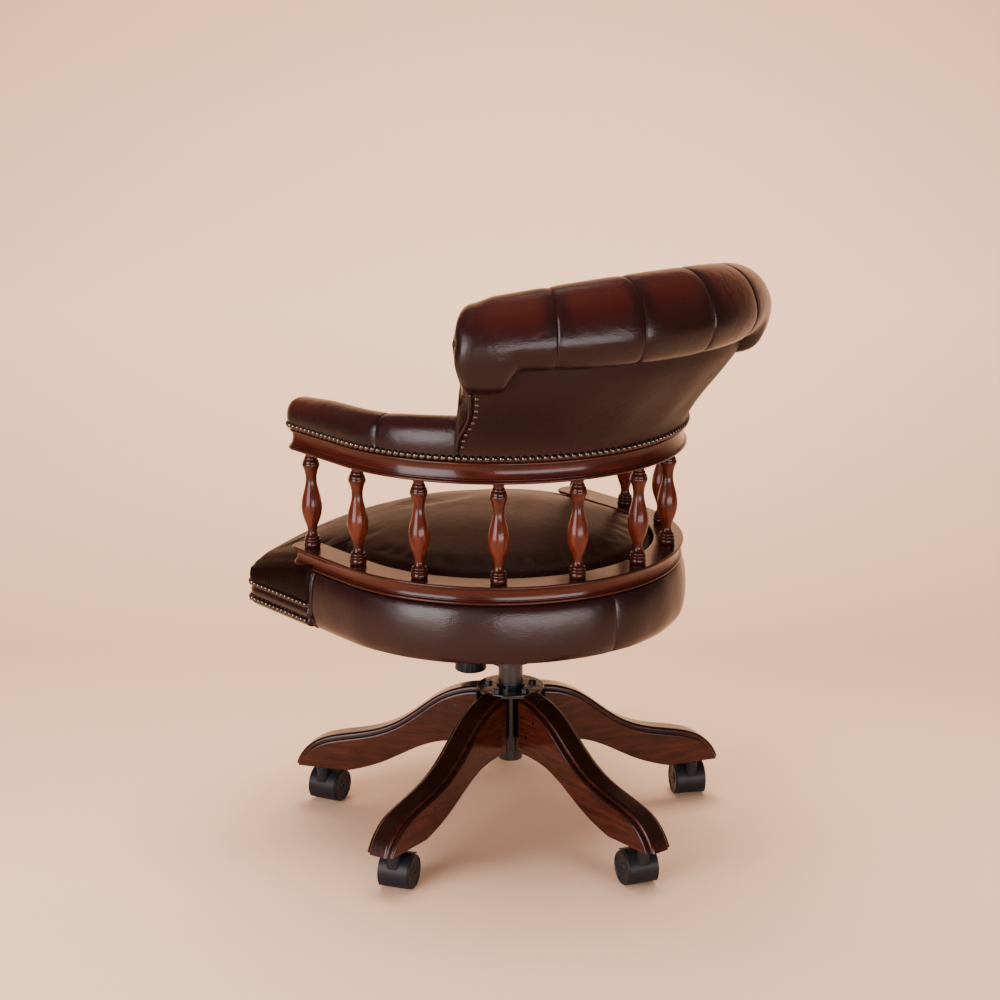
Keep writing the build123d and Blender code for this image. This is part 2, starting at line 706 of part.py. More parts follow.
def spindle_spots():
    """Spindle centres, evenly spaced along the ring from the middle of the back."""
    spots = []
    quarter = RING_RADIUS * math.pi / 2
    for number in range(SPINDLE_COUNT):
        walk = (number - (SPINDLE_COUNT - 1) / 2) * SPINDLE_PITCH
        side = math.copysign(1, walk)
        if abs(walk) <= quarter:
            turn = abs(walk) / RING_RADIUS
            spots.append((side * RING_RADIUS * math.sin(turn), RING_Y + RING_RADIUS * math.cos(turn)))
        else:
            spots.append((side * RING_RADIUS, RING_Y - (abs(walk) - quarter)))
    return spots


def make_rails(spots):
    """Two moulded rails along the ring, rounded at the arm ends and bored for the spindles' tenons."""
    upward = (Align.CENTER, Align.CENTER, Align.MIN)
    rails = [
        ("lower_rail", (LOWER_LOW, LOWER_HIGH, 20, 22), LOWER_HIGH - TENON_LENGTH - 0.5),
        ("upper_rail", (UPPER_LOW, UPPER_HIGH, 24, 22), UPPER_LOW),
    ]
    for name, section, bore_low in rails:
        with BuildPart() as rail:
            with BuildLine() as path:
                Line((RING_RADIUS, RAIL_END), (RING_RADIUS, RING_Y))
                CenterArc((0, RING_Y), RING_RADIUS, 0, 180)
                Line((-RING_RADIUS, RING_Y), (-RING_RADIUS, RAIL_END))
            with BuildSketch(upright_plane(RING_RADIUS, RAIL_END, 0)):
                with BuildLine():
                    half_moulding(*section)
                    mirror(about=Plane.YZ)
                make_face()
            sweep(path=path.wire())
            for side in (-1, 1):
                with BuildSketch(upright_plane(side * RING_RADIUS, RAIL_END, 0)):
                    with BuildLine():
                        half_moulding(*section)
                        Line((0, section[1]), (0, section[0]))
                    make_face()
                revolve(axis=Axis((side * RING_RADIUS, RAIL_END, 0), UP), revolution_arc=-180)
            with Locations(*[(x, y, bore_low) for x, y in spots]):
                Cylinder(TENON_RADIUS + 0.1, TENON_LENGTH + 0.5, align=upward, mode=Mode.SUBTRACT)
        save(rail, name)


def make_spindle(number, x, y):
    """Turned spindle: vase bulb between thin necks, ringed head and foot, and a tenon at each end."""
    low = LOWER_HIGH
    high = UPPER_LOW
    length = high - low
    with BuildPart() as spindle:
        with BuildSketch(upright_plane(x, y, 0)):
            with BuildLine():
                foot = Polyline(
                    (0, low - TENON_LENGTH),
                    (TENON_RADIUS, low - TENON_LENGTH),
                    (TENON_RADIUS, low),
                    (10.6, low),
                )
                ring_1 = ThreePointArc(foot @ 1, (11.9, low + 0.03 * length), (10.7, low + 0.06 * length))
                ring_2 = ThreePointArc(ring_1 @ 1, (11.6, low + 0.075 * length), (10.2, low + 0.09 * length))
                ring_3 = ThreePointArc(ring_2 @ 1, (10.6, low + 0.105 * length), (8.6, low + 0.12 * length))
                vase = Spline(
                    ring_3 @ 1,
                    (6.6, low + 0.165 * length),
                    (9.4, low + 0.25 * length),
                    (14.3, low + 0.37 * length),
                    (14.7, low + 0.44 * length),
                    (11.6, low + 0.56 * length),
                    (7.9, low + 0.68 * length),
                    (8.8, low + 0.765 * length),
                    (11.9, low + 0.83 * length),
                )
                head_1 = ThreePointArc(vase @ 1, (12.5, low + 0.85 * length), (11.6, low + 0.87 * length))
                head_2 = ThreePointArc(head_1 @ 1, (11, low + 0.89 * length), (9.4, low + 0.905 * length))
                head_3 = ThreePointArc(head_2 @ 1, (9.2, low + 0.92 * length), (7.7, low + 0.935 * length))
                cup = ThreePointArc(head_3 @ 1, (7.8, low + 0.96 * length), (10.2, high))
                Polyline(
                    cup @ 1,
                    (TENON_RADIUS, high),
                    (TENON_RADIUS, high + TENON_LENGTH),
                    (0, high + TENON_LENGTH),
                    (0, low - TENON_LENGTH),
                )
            make_face()
        revolve(axis=Axis((x, y, 0), UP))
    save(spindle, f"spindle_{number}")


# ---------------------------------------------------------------- back and arms


def make_arm_pads():
    """Padded arm tops: rounded section along the rail, rounded off at the front."""
    spring_line = PAD_HIGH - PAD_HALF
    with BuildPart() as arm_pad_left:
        with BuildLine() as path:
            Line((RING_RADIUS, RAIL_END), (RING_RADIUS, RING_Y))
            CenterArc((0, RING_Y), RING_RADIUS, 0, 90 - PAD_END_ANGLE)
        with BuildSketch(upright_plane(RING_RADIUS, RAIL_END, 0)):
            with BuildLine():
                CenterArc((0, spring_line), PAD_HALF, 0, 180)
                Polyline(
                    (-PAD_HALF, spring_line),
                    (-PAD_HALF, PAD_LOW),
                    (PAD_HALF, PAD_LOW),
                    (PAD_HALF, spring_line),
                )
            make_face()
        sweep(path=path.wire())
        with BuildSketch(upright_plane(RING_RADIUS, RAIL_END, 0)):
            with BuildLine():
                CenterArc((0, spring_line), PAD_HALF, 0, 90)
                Polyline((PAD_HALF, spring_line), (PAD_HALF, PAD_LOW), (0, PAD_LOW), (0, PAD_HIGH))
            make_face()
        revolve(axis=Axis((RING_RADIUS, RAIL_END, 0), UP), revolution_arc=-180)
    save(arm_pad_left, "arm_pad_left")
    with BuildPart() as arm_pad_right:
        mirror(arm_pad_left.part, about=Plane.YZ)
    save(arm_pad_right, "arm_pad_right")


def shifted(points, inward):
    """Move a back outline towards the ring's axis."""
    return [(radius - inward, height) for radius, height in points]


def make_back():
    """Bent back shell, its leather outside, and the deep-buttoned cushion that rolls over its top."""
    start = upright_plane(0, RING_Y, 90 - BACK_HALF_ANGLE)
    axis = Axis((0, RING_Y, 0), UP)
    sweep_angle = 2 * BACK_HALF_ANGLE
    frame_outer = shifted(BACK_SKIN, SKIN_WIDTH + SOFT_GAP)
    frame_inner = shifted(BACK_SKIN, SKIN_WIDTH + SOFT_GAP + FRAME_WIDTH)
    with BuildPart() as outside_back:
        with BuildSketch(start):
            with BuildLine():
                skin_out = Spline(*BACK_SKIN)
                skin_in = Spline(*shifted(BACK_SKIN, SKIN_WIDTH))
                Line(skin_out @ 0, skin_in @ 0)
                Line(skin_out @ 1, skin_in @ 1)
            make_face()
        revolve(axis=axis, revolution_arc=sweep_angle)
    save(outside_back, "outside_back")

    with BuildPart() as back_frame:
        with BuildSketch(upright_plane(0, RING_Y, 90 - FRAME_HALF_ANGLE)):
            with BuildLine():
                shell_out = Spline(*frame_outer)
                shell_in = Spline(*frame_inner)
                Line(shell_out @ 0, shell_in @ 0)
                Line(shell_out @ 1, shell_in @ 1)
            make_face()
        revolve(axis=axis, revolution_arc=2 * FRAME_HALF_ANGLE)
    save(back_frame, "back_frame")

    roll = [(345, 759), (358, 761), (374, 766), (385, 780), (389.5, 802), (384, 833), (364, 861)]
    roll += [(335, 870.5), (306, 858), (289, 828), (274, 788), (255, 748), (235, 706), (221, 668), (219, 642)]
    roll += [(227, PAD_LOW)]
    with BuildPart() as back_cushion:
        with BuildSketch(start):
            with BuildLine():
                hidden_side = Spline(*shifted(frame_inner, SOFT_GAP))
                padded_side = Spline(*roll)
                Line(padded_side @ 1, hidden_side @ 0)
                Line(hidden_side @ 1, padded_side @ 0)
            make_face()
        revolve(axis=axis, revolution_arc=sweep_angle)
    save(back_cushion, "back_cushion")


def make_back_buttons():
    """Covered buttons in a diamond pattern over the inside of the back."""
    rows = [(289.6, 826, (-3, -1, 1, 3)), (270, 780, (-4, -2, 0, 2, 4)), (248, 733, (-3, -1, 1, 3))]
    lean = 22
    spots = []
    for radius, height, steps in rows:
        for step in steps:
            turn = math.radians(90 + step * BUTTON_STEP)
            inward = Vector(-math.cos(turn), -math.sin(turn), 0)
            centre = Vector(0, RING_Y, height) - inward * (radius - 7.2)
            normal = inward * math.cos(math.radians(lean)) + Vector(0, 0, math.sin(math.radians(lean)))
            spots.append(Plane(origin=centre, z_dir=normal).location)
    with BuildPart() as back_buttons:
        with Locations(*spots):
            Cylinder(8, 3)
            with Locations((0, 0, 1.5)):
                Sphere(6, mode=Mode.ADD)
    save(back_buttons, "back_buttons")


# ---------------------------------------------------------------- upholstery nails


def nail_places(wire, height):
    """Locations for nails along a flat wire at one height, each facing to the wire's right."""
    count = round(wire.length / NAIL_PITCH)
    places = []
    for number in range(count):
        share = (number + 0.5) / count
        point = wire @ share
        tangent = wire % share
        outward = Vector(tangent.Y, -tangent.X, 0)
        places.append(Plane(origin=(point.X, point.Y, height), z_dir=outward).location)
    return places


def make_nails():
    """Domed upholstery nails: one row round the gallery, and two rows round the seat's front."""
    cap_radius = (NAIL_RADIUS**2 + NAIL_HEIGHT**2) / (2 * NAIL_HEIGHT)
    with BuildPart() as nail:
        with BuildSketch(Plane.XZ):
            with BuildLine():
                dome = RadiusArc((NAIL_RADIUS, 0), (0, NAIL_HEIGHT), -cap_radius)
                Polyline(dome @ 1, (0, 0), dome @ 0)
            make_face()
        revolve(axis=Axis.Z)

    reach = PAD_HALF + 0.6 + SOFT_GAP
    outer = RING_RADIUS + reach
    inner = RING_RADIUS - reach
    inner_stop = 90 - BACK_HALF_ANGLE - 6
    with BuildLine() as gallery_line:
        CenterArc((0, RING_Y), inner, inner_stop, -inner_stop)
        Line((inner, RING_Y), (inner, RAIL_END))
        CenterArc((RING_RADIUS, RAIL_END), reach, 180, 180)
        Line((outer, RAIL_END), (outer, RING_Y))
        CenterArc((0, RING_Y), outer, 0, 180)
        Line((-outer, RING_Y), (-outer, RAIL_END))
        CenterArc((-RING_RADIUS, RAIL_END), reach, 0, -180)
        Line((-inner, RAIL_END), (-inner, RING_Y))
        CenterArc((0, RING_Y), inner, 180, -inner_stop)
    places = nail_places(gallery_line.wire(), UPPER_HIGH + 6)
    half = SEAT_HALF + SOFT_GAP
    with BuildLine() as front_line:
        Line((-half, SIDE_SEAM - 6), (-half, SEAT_FRONT))
        ThreePointArc((-half, SEAT_FRONT), (0, SEAT_FRONT - SEAT_BOW - SOFT_GAP), (half, SEAT_FRONT))
        Line((half, SEAT_FRONT), (half, SIDE_SEAM - 6))
        fillet(front_line.vertices().group_by(Axis.Y)[0], SEAT_CORNER)
    for height in (SKIRT_LOW + 5, SKIRT_LOW + 29):
        places += nail_places(front_line.wire(), height)
    with BuildPart() as upholstery_nails:
        with Locations(*places):
            add(nail.part)
    save(upholstery_nails, "upholstery_nails")


for index, leg_angle in enumerate(LEG_ANGLES, start=1):
    make_leg(index, leg_angle)
    stem_x, stem_y = on_circle(STEM_CIRCLE, leg_angle)
    trail = CASTER_HEADINGS[index - 1]
    make_hood(index, stem_x, stem_y, trail)
    make_wheel(f"wheel_{index}_left", stem_x, stem_y, trail, -1)
    make_wheel(f"wheel_{index}_right", stem_x, stem_y, trail, 1)
make_hub_tube()
make_hub_plate()
make_hub_fasteners()
make_lift()
make_caster_hardware()
make_mechanism_box()
make_tilt_parts()
make_lever()
make_seat_wood(make_seat_bracket())
make_seat_cushion()
make_seat_apron()
gallery_spots = spindle_spots()
make_rails(gallery_spots)
for index, (spindle_x, spindle_y) in enumerate(gallery_spots, start=1):
    make_spindle(index, spindle_x, spindle_y)
make_arm_pads()
make_back()
make_back_buttons()
make_nails()
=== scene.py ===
"""Looks of the captain's swivel desk chair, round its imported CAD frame. Metres, +Z up, sitter faces -Y."""

import json
import math
from types import SimpleNamespace

import bmesh
import bpy
import numpy as np
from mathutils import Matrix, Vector


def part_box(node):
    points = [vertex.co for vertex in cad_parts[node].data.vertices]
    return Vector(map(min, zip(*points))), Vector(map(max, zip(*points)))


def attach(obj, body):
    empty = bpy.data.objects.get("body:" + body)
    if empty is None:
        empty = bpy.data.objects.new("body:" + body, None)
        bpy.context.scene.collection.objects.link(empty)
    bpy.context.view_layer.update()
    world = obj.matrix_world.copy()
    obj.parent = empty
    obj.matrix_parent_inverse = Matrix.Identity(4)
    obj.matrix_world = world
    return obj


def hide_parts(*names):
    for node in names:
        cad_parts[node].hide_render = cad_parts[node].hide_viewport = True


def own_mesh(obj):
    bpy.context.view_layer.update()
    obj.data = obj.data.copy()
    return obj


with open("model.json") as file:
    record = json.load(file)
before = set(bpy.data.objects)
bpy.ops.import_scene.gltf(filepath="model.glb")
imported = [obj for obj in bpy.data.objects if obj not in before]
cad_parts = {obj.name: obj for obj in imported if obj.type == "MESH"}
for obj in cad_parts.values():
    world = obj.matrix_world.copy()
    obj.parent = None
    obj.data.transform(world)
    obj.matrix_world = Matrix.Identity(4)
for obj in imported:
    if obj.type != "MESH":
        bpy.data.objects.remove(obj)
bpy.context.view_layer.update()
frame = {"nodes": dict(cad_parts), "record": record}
nodes = frame["nodes"]

# ---------------- driving sizes, from the frame

MM = 0.001
RAIL_LOW, RAIL_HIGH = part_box("upper_rail")
RAIL_HALF = 0.024
RING = RAIL_HIGH.x - RAIL_HALF
RING_Y = RAIL_HIGH.y - RAIL_HALF - RING
ARM_FRONT = RAIL_LOW.y + RAIL_HALF
LOWER_LOW, LOWER_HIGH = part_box("lower_rail")
SEAT_LOW, SEAT_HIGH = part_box("seat_cushion")
SEAT_HALF = SEAT_HIGH.x
SEAT_BOW = 0.014
SEAT_FRONT = SEAT_LOW.y + SEAT_BOW
SEAT_CORNER = 0.028
DOME_RADIUS = 0.881
DOME_Y = -0.040
DOME_TOP = SEAT_HIGH.z
SIDE_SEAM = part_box("seat_apron")[0].y
PLEATS = (-27.3, -9.1, 9.1, 27.3)
BUTTON_STEP = 9.1


# ---------------- mesh helpers


def ring_point(walk, out, height):
    """Point by its walk along the gallery from the middle of the back, its offset out, and its height."""
    quarter = RING * math.pi / 2
    if abs(walk) <= quarter:
        turn = walk / RING
        return ((RING + out) * math.sin(turn), RING_Y + (RING + out) * math.cos(turn), height)
    side = math.copysign(1, walk)
    return (side * (RING + out), RING_Y - (abs(walk) - quarter), height)


def polar(radius, angle, height):
    """Point round the ring's axis: angle in degrees from the middle of the back towards +X."""
    turn = np.radians(angle)
    return np.stack([radius * np.sin(turn), RING_Y + radius * np.cos(turn), height + 0 * turn], -1)


def smoothstep(low, high, value):
    share = np.clip((value - low) / (high - low), 0, 1)
    return share * share * (3 - 2 * share)


def curve_through(points, count):
    """Evenly spaced points on a smooth curve through the given ones (centripetal Catmull-Rom)."""
    points = np.array(points, float)
    ends = np.vstack([2 * points[0] - points[1], points, 2 * points[-1] - points[-2]])
    dense = []
    for a, b, c, d in zip(ends, ends[1:], ends[2:], ends[3:]):
        steps = [max(np.linalg.norm(q - p), 1e-9) ** 0.5 for p, q in ((a, b), (b, c), (c, d))]
        knots = np.cumsum([0, *steps])
        for t in np.linspace(knots[1], knots[2], 24, endpoint=False):
            ab = a + (b - a) * (t - knots[0]) / (knots[1] - knots[0])
            bc = b + (c - b) * (t - knots[1]) / (knots[2] - knots[1])
            cd = c + (d - c) * (t - knots[2]) / (knots[3] - knots[2])
            abc = ab + (bc - ab) * (t - knots[0]) / (knots[2] - knots[0])
            bcd = bc + (cd - bc) * (t - knots[1]) / (knots[3] - knots[1])
            dense.append(abc + (bcd - abc) * (t - knots[1]) / (knots[2] - knots[1]))
    dense.append(points[-1])
    return resample(np.array(dense), count)


def resample(points, count):
    """Evenly spaced points along a polyline."""
    walk = np.concatenate([[0], np.cumsum(np.linalg.norm(np.diff(points, axis=0), axis=1))])
    places = np.linspace(0, walk[-1], count)
    return np.stack([np.interp(places, walk, points[:, k]) for k in range(points.shape[1])], -1)


def make_object(name, points, faces):
    mesh = bpy.data.meshes.new(name)
    mesh.from_pydata([tuple(p) for p in points], [], faces)
    mesh.update()
    piece = bpy.data.objects.new(name, mesh)
    bpy.context.scene.collection.objects.link(piece)
    return piece


def grid_faces(columns, rows, wrap_columns=False, wrap_rows=False, start=0):
    faces = []
    for i in range(columns if wrap_columns else columns - 1):
        j = (i + 1) % columns
        for k in range(rows if wrap_rows else rows - 1):
            m = (k + 1) % rows
            faces.append(tuple(start + n for n in (i * rows + k, j * rows + k, j * rows + m, i * rows + m)))
    return faces


def tidy_mesh(piece, weld=2e-5):
    """Weld doubled points, drop faces without area, face outwards, and shade smoothly."""
    shape = bmesh.new()
    shape.from_mesh(piece.data)
    bmesh.ops.remove_doubles(shape, verts=shape.verts, dist=weld)
    bmesh.ops.dissolve_degenerate(shape, dist=weld, edges=shape.edges)
    bmesh.ops.recalc_face_normals(shape, faces=shape.faces)
    shape.to_mesh(piece.data)
    shape.free()
    piece.data.shade_smooth()
    return piece


def loft(name, loops, weld=2e-5):
    """Closed loops of points joined into one solid, capped at both ends."""
    count, rows = loops.shape[:2]
    faces = grid_faces(count, rows, wrap_rows=True)
    faces += [tuple(range(rows)), tuple(range(count * rows - 1, (count - 1) * rows - 1, -1))]
    return tidy_mesh(make_object(name, loops.reshape(-1, 3), faces), weld)


def coordinates(piece):
    co = np.zeros(len(piece.data.vertices) * 3)
    piece.data.vertices.foreach_get("co", co)
    return co.reshape(-1, 3)


def move_points(piece, co):
    piece.data.vertices.foreach_set("co", np.ascontiguousarray(co, dtype=float).ravel())
    piece.data.update()


def paint(piece, values, name="rub"):
    attribute = piece.data.attributes.new(name, "FLOAT", "POINT")
    attribute.data.foreach_set("value", np.asarray(values, dtype=np.float32))


def tidy_with_held(piece, held):
    """Tidy a mesh, and tell which of its points are held while it puffs."""
    paint(piece, held, "held")
    tidy_mesh(piece)
    kept = np.zeros(len(piece.data.vertices), np.float32)
    piece.data.attributes["held"].data.foreach_get("value", kept)
    piece.data.attributes.remove(piece.data.attributes["held"])
    return kept > 0.5


def subdivide(piece, levels=1):
    smooth = piece.modifiers.new("smooth", "SUBSURF")
    smooth.levels = levels
    smooth.render_levels = levels


CLOTH_FRAMES = 20


def puff(piece, pinned, pressure, cap):
    """Inflate a padded form as cloth, with some points held, and no point moved further than the cap."""
    rest = coordinates(piece)
    group = piece.vertex_groups.new(name="held")
    group.add([int(n) for n in np.flatnonzero(pinned)], 1.0, "REPLACE")
    cloth = piece.modifiers.new("cloth", "CLOTH")
    settings = cloth.settings
    settings.quality = 6
    settings.mass = 0.3
    settings.tension_stiffness = 25
    settings.compression_stiffness = 15
    settings.bending_stiffness = 1.5
    settings.use_pressure = True
    settings.uniform_pressure_force = pressure
    settings.vertex_group_mass = "held"
    settings.effector_weights.gravity = 0
    cloth.point_cache.frame_start = 1
    cloth.point_cache.frame_end = CLOTH_FRAMES
    for number in range(1, CLOTH_FRAMES + 1):
        bpy.context.scene.frame_set(number)
    evaluated = piece.evaluated_get(bpy.context.evaluated_depsgraph_get())
    puffed = np.zeros(rest.size)
    evaluated.data.vertices.foreach_get("co", puffed)
    move = puffed.reshape(-1, 3) - rest
    length = np.maximum(np.linalg.norm(move, axis=1, keepdims=True), 1e-9)
    piece.modifiers.remove(cloth)
    move_points(piece, rest + move * np.minimum(1, cap / length))
    bpy.context.scene.frame_set(1)


def tube(name, path, radius, sides=10):
    """Round piping along a path of points."""
    path = np.array(path, float)
    along = np.gradient(path, axis=0)
    along /= np.linalg.norm(along, axis=1, keepdims=True)
    side = np.cross(along, (0, 0, 1.0))
    weak = np.linalg.norm(side, axis=1) < 0.2
    side[weak] = np.cross(along[weak], (1.0, 0.3, 0))
    side /= np.linalg.norm(side, axis=1, keepdims=True)
    other = np.cross(along, side)
    turns = 2 * math.pi * np.arange(sides)[None, :, None] / sides
    rings = path[:, None] + radius * (side[:, None] * np.cos(turns) + other[:, None] * np.sin(turns))
    return loft(name, rings, 1e-6)


def domes(name, places, radius, height, sides=18):
    """Round caps, one at each (centre, outward direction), joined in one piece."""
    points, faces = [], []
    levels = 5
    for centre, outward in places:
        outward = Vector(outward).normalized()
        across = outward.orthogonal().normalized()
        up = outward.cross(across)
        start = len(points)
        for level in range(levels):
            turn = math.pi / 2 * level / levels
            for number in range(sides):
                spin = 2 * math.pi * number / sides
                flat = across * math.cos(spin) + up * math.sin(spin)
                rim = Vector(centre) + flat * radius * math.cos(turn)
                points.append(rim + outward * height * math.sin(turn))
        points.append(Vector(centre) + outward * height)
        for level in range(levels - 1):
            for number in range(sides):
                after = (number + 1) % sides
                low, high = start + level * sides, start + (level + 1) * sides
                faces.append((low + number, low + after, high + after, high + number))
        top = start + (levels - 1) * sides
        faces += [(top + n, top + (n + 1) % sides, len(points) - 1) for n in range(sides)]
        faces.append(tuple(start + n for n in reversed(range(sides))))
    return tidy_mesh(make_object(name, points, faces), 1e-6)


# ---------------- materials


class Shader:
    """A Principled material and short calls to build its nodes."""

    def __init__(self, name, **constants):
        self.material = bpy.data.materials.new(name)
        self.material.use_nodes = True
        self.tree = self.material.node_tree
        self.surface = self.tree.nodes["Principled BSDF"]
        for socket, value in constants.items():
            self.surface.inputs[socket.replace("_", " ")].default_value = value

    def node(self, kind, **values):
        made = self.tree.nodes.new(kind)
        for key, value in values.items():
            if hasattr(made, key):
                setattr(made, key, value)
            else:
                made.inputs[key.replace("_", " ")].default_value = value
        return made

    def join(self, source, target):
        self.tree.links.new(source, target)

    def place(self, scale=(1, 1, 1), turn=(0, 0, 0)):
        """Object coordinates, turned and then scaled."""
        where = self.node("ShaderNodeTexCoord").outputs["Object"]
        turned = self.node("ShaderNodeMapping")
        turned.inputs["Rotation"].default_value = turn
        self.join(where, turned.inputs["Vector"])
        scaled = self.node("ShaderNodeMapping")
        scaled.inputs["Scale"].default_value = scale
        self.join(turned.outputs["Vector"], scaled.inputs["Vector"])
        return scaled.outputs["Vector"]

    def noise(self, where, scale, detail=3.0, roughness=0.55, distortion=0.0):
        made = self.node("ShaderNodeTexNoise", Scale=scale, Detail=detail, Roughness=roughness)
        made.inputs["Distortion"].default_value = distortion
        if where:
            self.join(where, made.inputs["Vector"])
        return made.outputs["Fac"]

    def math(self, operation, first, second=0.5, clamp=False):
        made = self.node("ShaderNodeMath", operation=operation, use_clamp=clamp)
        for number, value in enumerate((first, second)):
            if isinstance(value, (int, float)):
                made.inputs[number].default_value = value
            else:
                self.join(value, made.inputs[number])
        return made.outputs[0]

    def ramp(self, factor, stops):
        """Colour ramp with (place, colour) stops."""
        made = self.node("ShaderNodeValToRGB")
        elements = made.color_ramp.elements
        while len(elements) < len(stops):
            elements.new(0.5)
        for element, (place, colour) in zip(elements, stops):
            element.position = place
            element.color = (*colour, 1)
        self.join(factor, made.inputs["Fac"])
        return made.outputs["Color"]

    def grey_ramp(self, factor, stops):
        return self.ramp(factor, [(place, (grey,) * 3) for place, grey in stops])

    def mix(self, factor, first, second):
        made = self.node("ShaderNodeMix", data_type="RGBA")
        for value, socket in ((factor, 0), (first, 6), (second, 7)):
            if isinstance(value, (int, float)):
                made.inputs[socket].default_value = value
            elif isinstance(value, tuple):
                made.inputs[socket].default_value = (*value, 1)
            else:
                self.join(value, made.inputs[socket])
        return made.outputs[2]

    def spread(self, factor, low, high):
        """Map a 0 to 1 factor to a range."""
        made = self.node("ShaderNodeMapRange")
        made.inputs["To Min"].default_value = low
        made.inputs["To Max"].default_value = high
        self.join(factor, made.inputs["Value"])
        return made.outputs["Result"]

    def level(self, value, low, high):
        """Map a range to 0 to 1."""
        made = self.node("ShaderNodeMapRange")
        made.inputs["From Min"].default_value = low
        made.inputs["From Max"].default_value = high
        self.join(value, made.inputs["Value"])
        return made.outputs["Result"]

    def split(self, vector):
        made = self.node("ShaderNodeSeparateXYZ")
        self.join(vector, made.inputs[0])
        return made.outputs

    def colour(self, source):
        self.join(source, self.surface.inputs["Base Color"])

    def rough(self, source):
        self.join(source, self.surface.inputs["Roughness"])

    def bump(self, height, distance, strength=1.0):
        made = self.node("ShaderNodeBump", Strength=strength, Distance=distance)
        self.join(height, made.inputs["Height"])
        if self.surface.inputs["Normal"].is_linked:
            self.join(self.surface.inputs["Normal"].links[0].from_socket, made.inputs["Normal"])
        self.join(made.outputs["Normal"], self.surface.inputs["Normal"])


def leather(name, dark, middle, red, gloss, shine, wrinkle=1.0):
    """Antiqued hide: dark dye rubbed back to red where the rub attribute says, fine grain, soft wrinkles."""
    skin = Shader(name, Specular_IOR_Level=shine)
    where = skin.place()
    clouds = skin.noise(where, 11, 4, 0.6, 0.4)
    rub = skin.node("ShaderNodeAttribute", attribute_name="rub").outputs["Fac"]
    patches = skin.math("MULTIPLY", skin.math("ADD", rub, skin.math("MULTIPLY", clouds, 0.35)), 0.8)
    base = skin.ramp(patches, [(0.12, dark), (0.42, middle), (0.85, red)])
    specks = skin.noise(where, 260, 2, 0.6)
    skin.colour(skin.mix(skin.spread(specks, 0.0, 0.35), base, dark))
    skin.rough(skin.spread(skin.noise(where, 35, 3, 0.6), *gloss))
    skin.bump(skin.noise(where, 42, 3, 0.5, 0.8), 0.0009 * wrinkle)
    cells = skin.node("ShaderNodeTexVoronoi", Scale=620.0, feature="SMOOTH_F1")
    skin.join(where, cells.inputs["Vector"])
    skin.bump(cells.outputs["Distance"], 0.00022)
    return skin.material


def lacquered(skin, grain, dark, middle, light, streak=0.35):
    """Mahogany colour, pores and lacquer on a shader, given its grain coordinates."""
    figure = skin.noise(grain, 14, 5, 0.62, 0.6)
    pores = skin.noise(grain, 130, 3, 0.7)
    base = skin.ramp(figure, [(0.28, dark), (0.52, middle), (0.78, light)])
    skin.rough(skin.spread(skin.noise(skin.place(), 25, 3), 0.13, 0.26))
    skin.bump(pores, 0.00006)
    skin.bump(skin.noise(skin.place(), 18, 2), 0.0005)
    return skin.mix(skin.spread(pores, 0.0, streak), base, dark)


def lacquer_shader(name):
    return Shader(name, Coat_Weight=0.10, Coat_Roughness=0.06, Specular_IOR_Level=0.16)


def leg_wood(name, turn):
    """Leg timber: grain runs out along the leg, and upward- and downward-facing surfaces are painted nearly
    black as painted shade.
    """
    skin = lacquer_shader(name)
    grain = skin.place((1.0, 9.0, 9.0), (0, 0, -turn))
    base = lacquered(skin, grain, (0.010, 0.0024, 0.0014), (0.036, 0.0075, 0.0036), (0.070, 0.016, 0.0070))
    # painted shade: faces turned up or down, found by their normal, are darkened towards near-black
    upward = skin.split(skin.node("ShaderNodeNewGeometry").outputs["Normal"])[2]
    painted_face_shade = skin.math("MULTIPLY", skin.math("ABSOLUTE", upward), 1.6, clamp=True)
    skin.colour(skin.mix(skin.math("MULTIPLY", painted_face_shade, 0.85), base, (0.0055, 0.0017, 0.0012)))
    return skin.material


def rail_wood(name, low, high):
    """Rail timber: grain follows the ring, and the moulding's hollows hold dark polish."""
    skin = lacquer_shader(name)
    x, y, z = skin.split(skin.node("ShaderNodeTexCoord").outputs["Object"])
    from_centre = skin.math("SUBTRACT", y, RING_Y)
    behind = skin.math("MAXIMUM", from_centre, 0.0)
    squares = skin.math("ADD", skin.math("MULTIPLY", x, x), skin.math("MULTIPLY", behind, behind))
    radius = skin.math("SQRT", squares)
    turn = skin.math("ARCTAN2", x, behind)
    along = skin.math("ADD", skin.math("MULTIPLY", turn, 0.25), skin.math("MINIMUM", from_centre, 0.0))
    grain = skin.node("ShaderNodeCombineXYZ")
    for value, stretch, socket in ((along, 1.0, 0), (radius, 9.0, 1), (z, 9.0, 2)):
        skin.join(skin.math("MULTIPLY", value, stretch), grain.inputs[socket])
    base = lacquered(skin, grain.outputs[0], (0.015, 0.0026, 0.0017), (0.043, 0.0062, 0.0031),
                     (0.078, 0.0135, 0.0058))
    hollow = skin.grey_ramp(skin.level(z, low, high),
                            [(0.02, 0.55), (0.17, 0.0), (0.20, 0.9), (0.30, 0.1), (0.72, 0.15), (0.80, 0.85),
                             (0.94, 0.0), (1.0, 0.97)])
    skin.colour(skin.mix(hollow, base, (0.012, 0.003, 0.002)))
    return skin.material


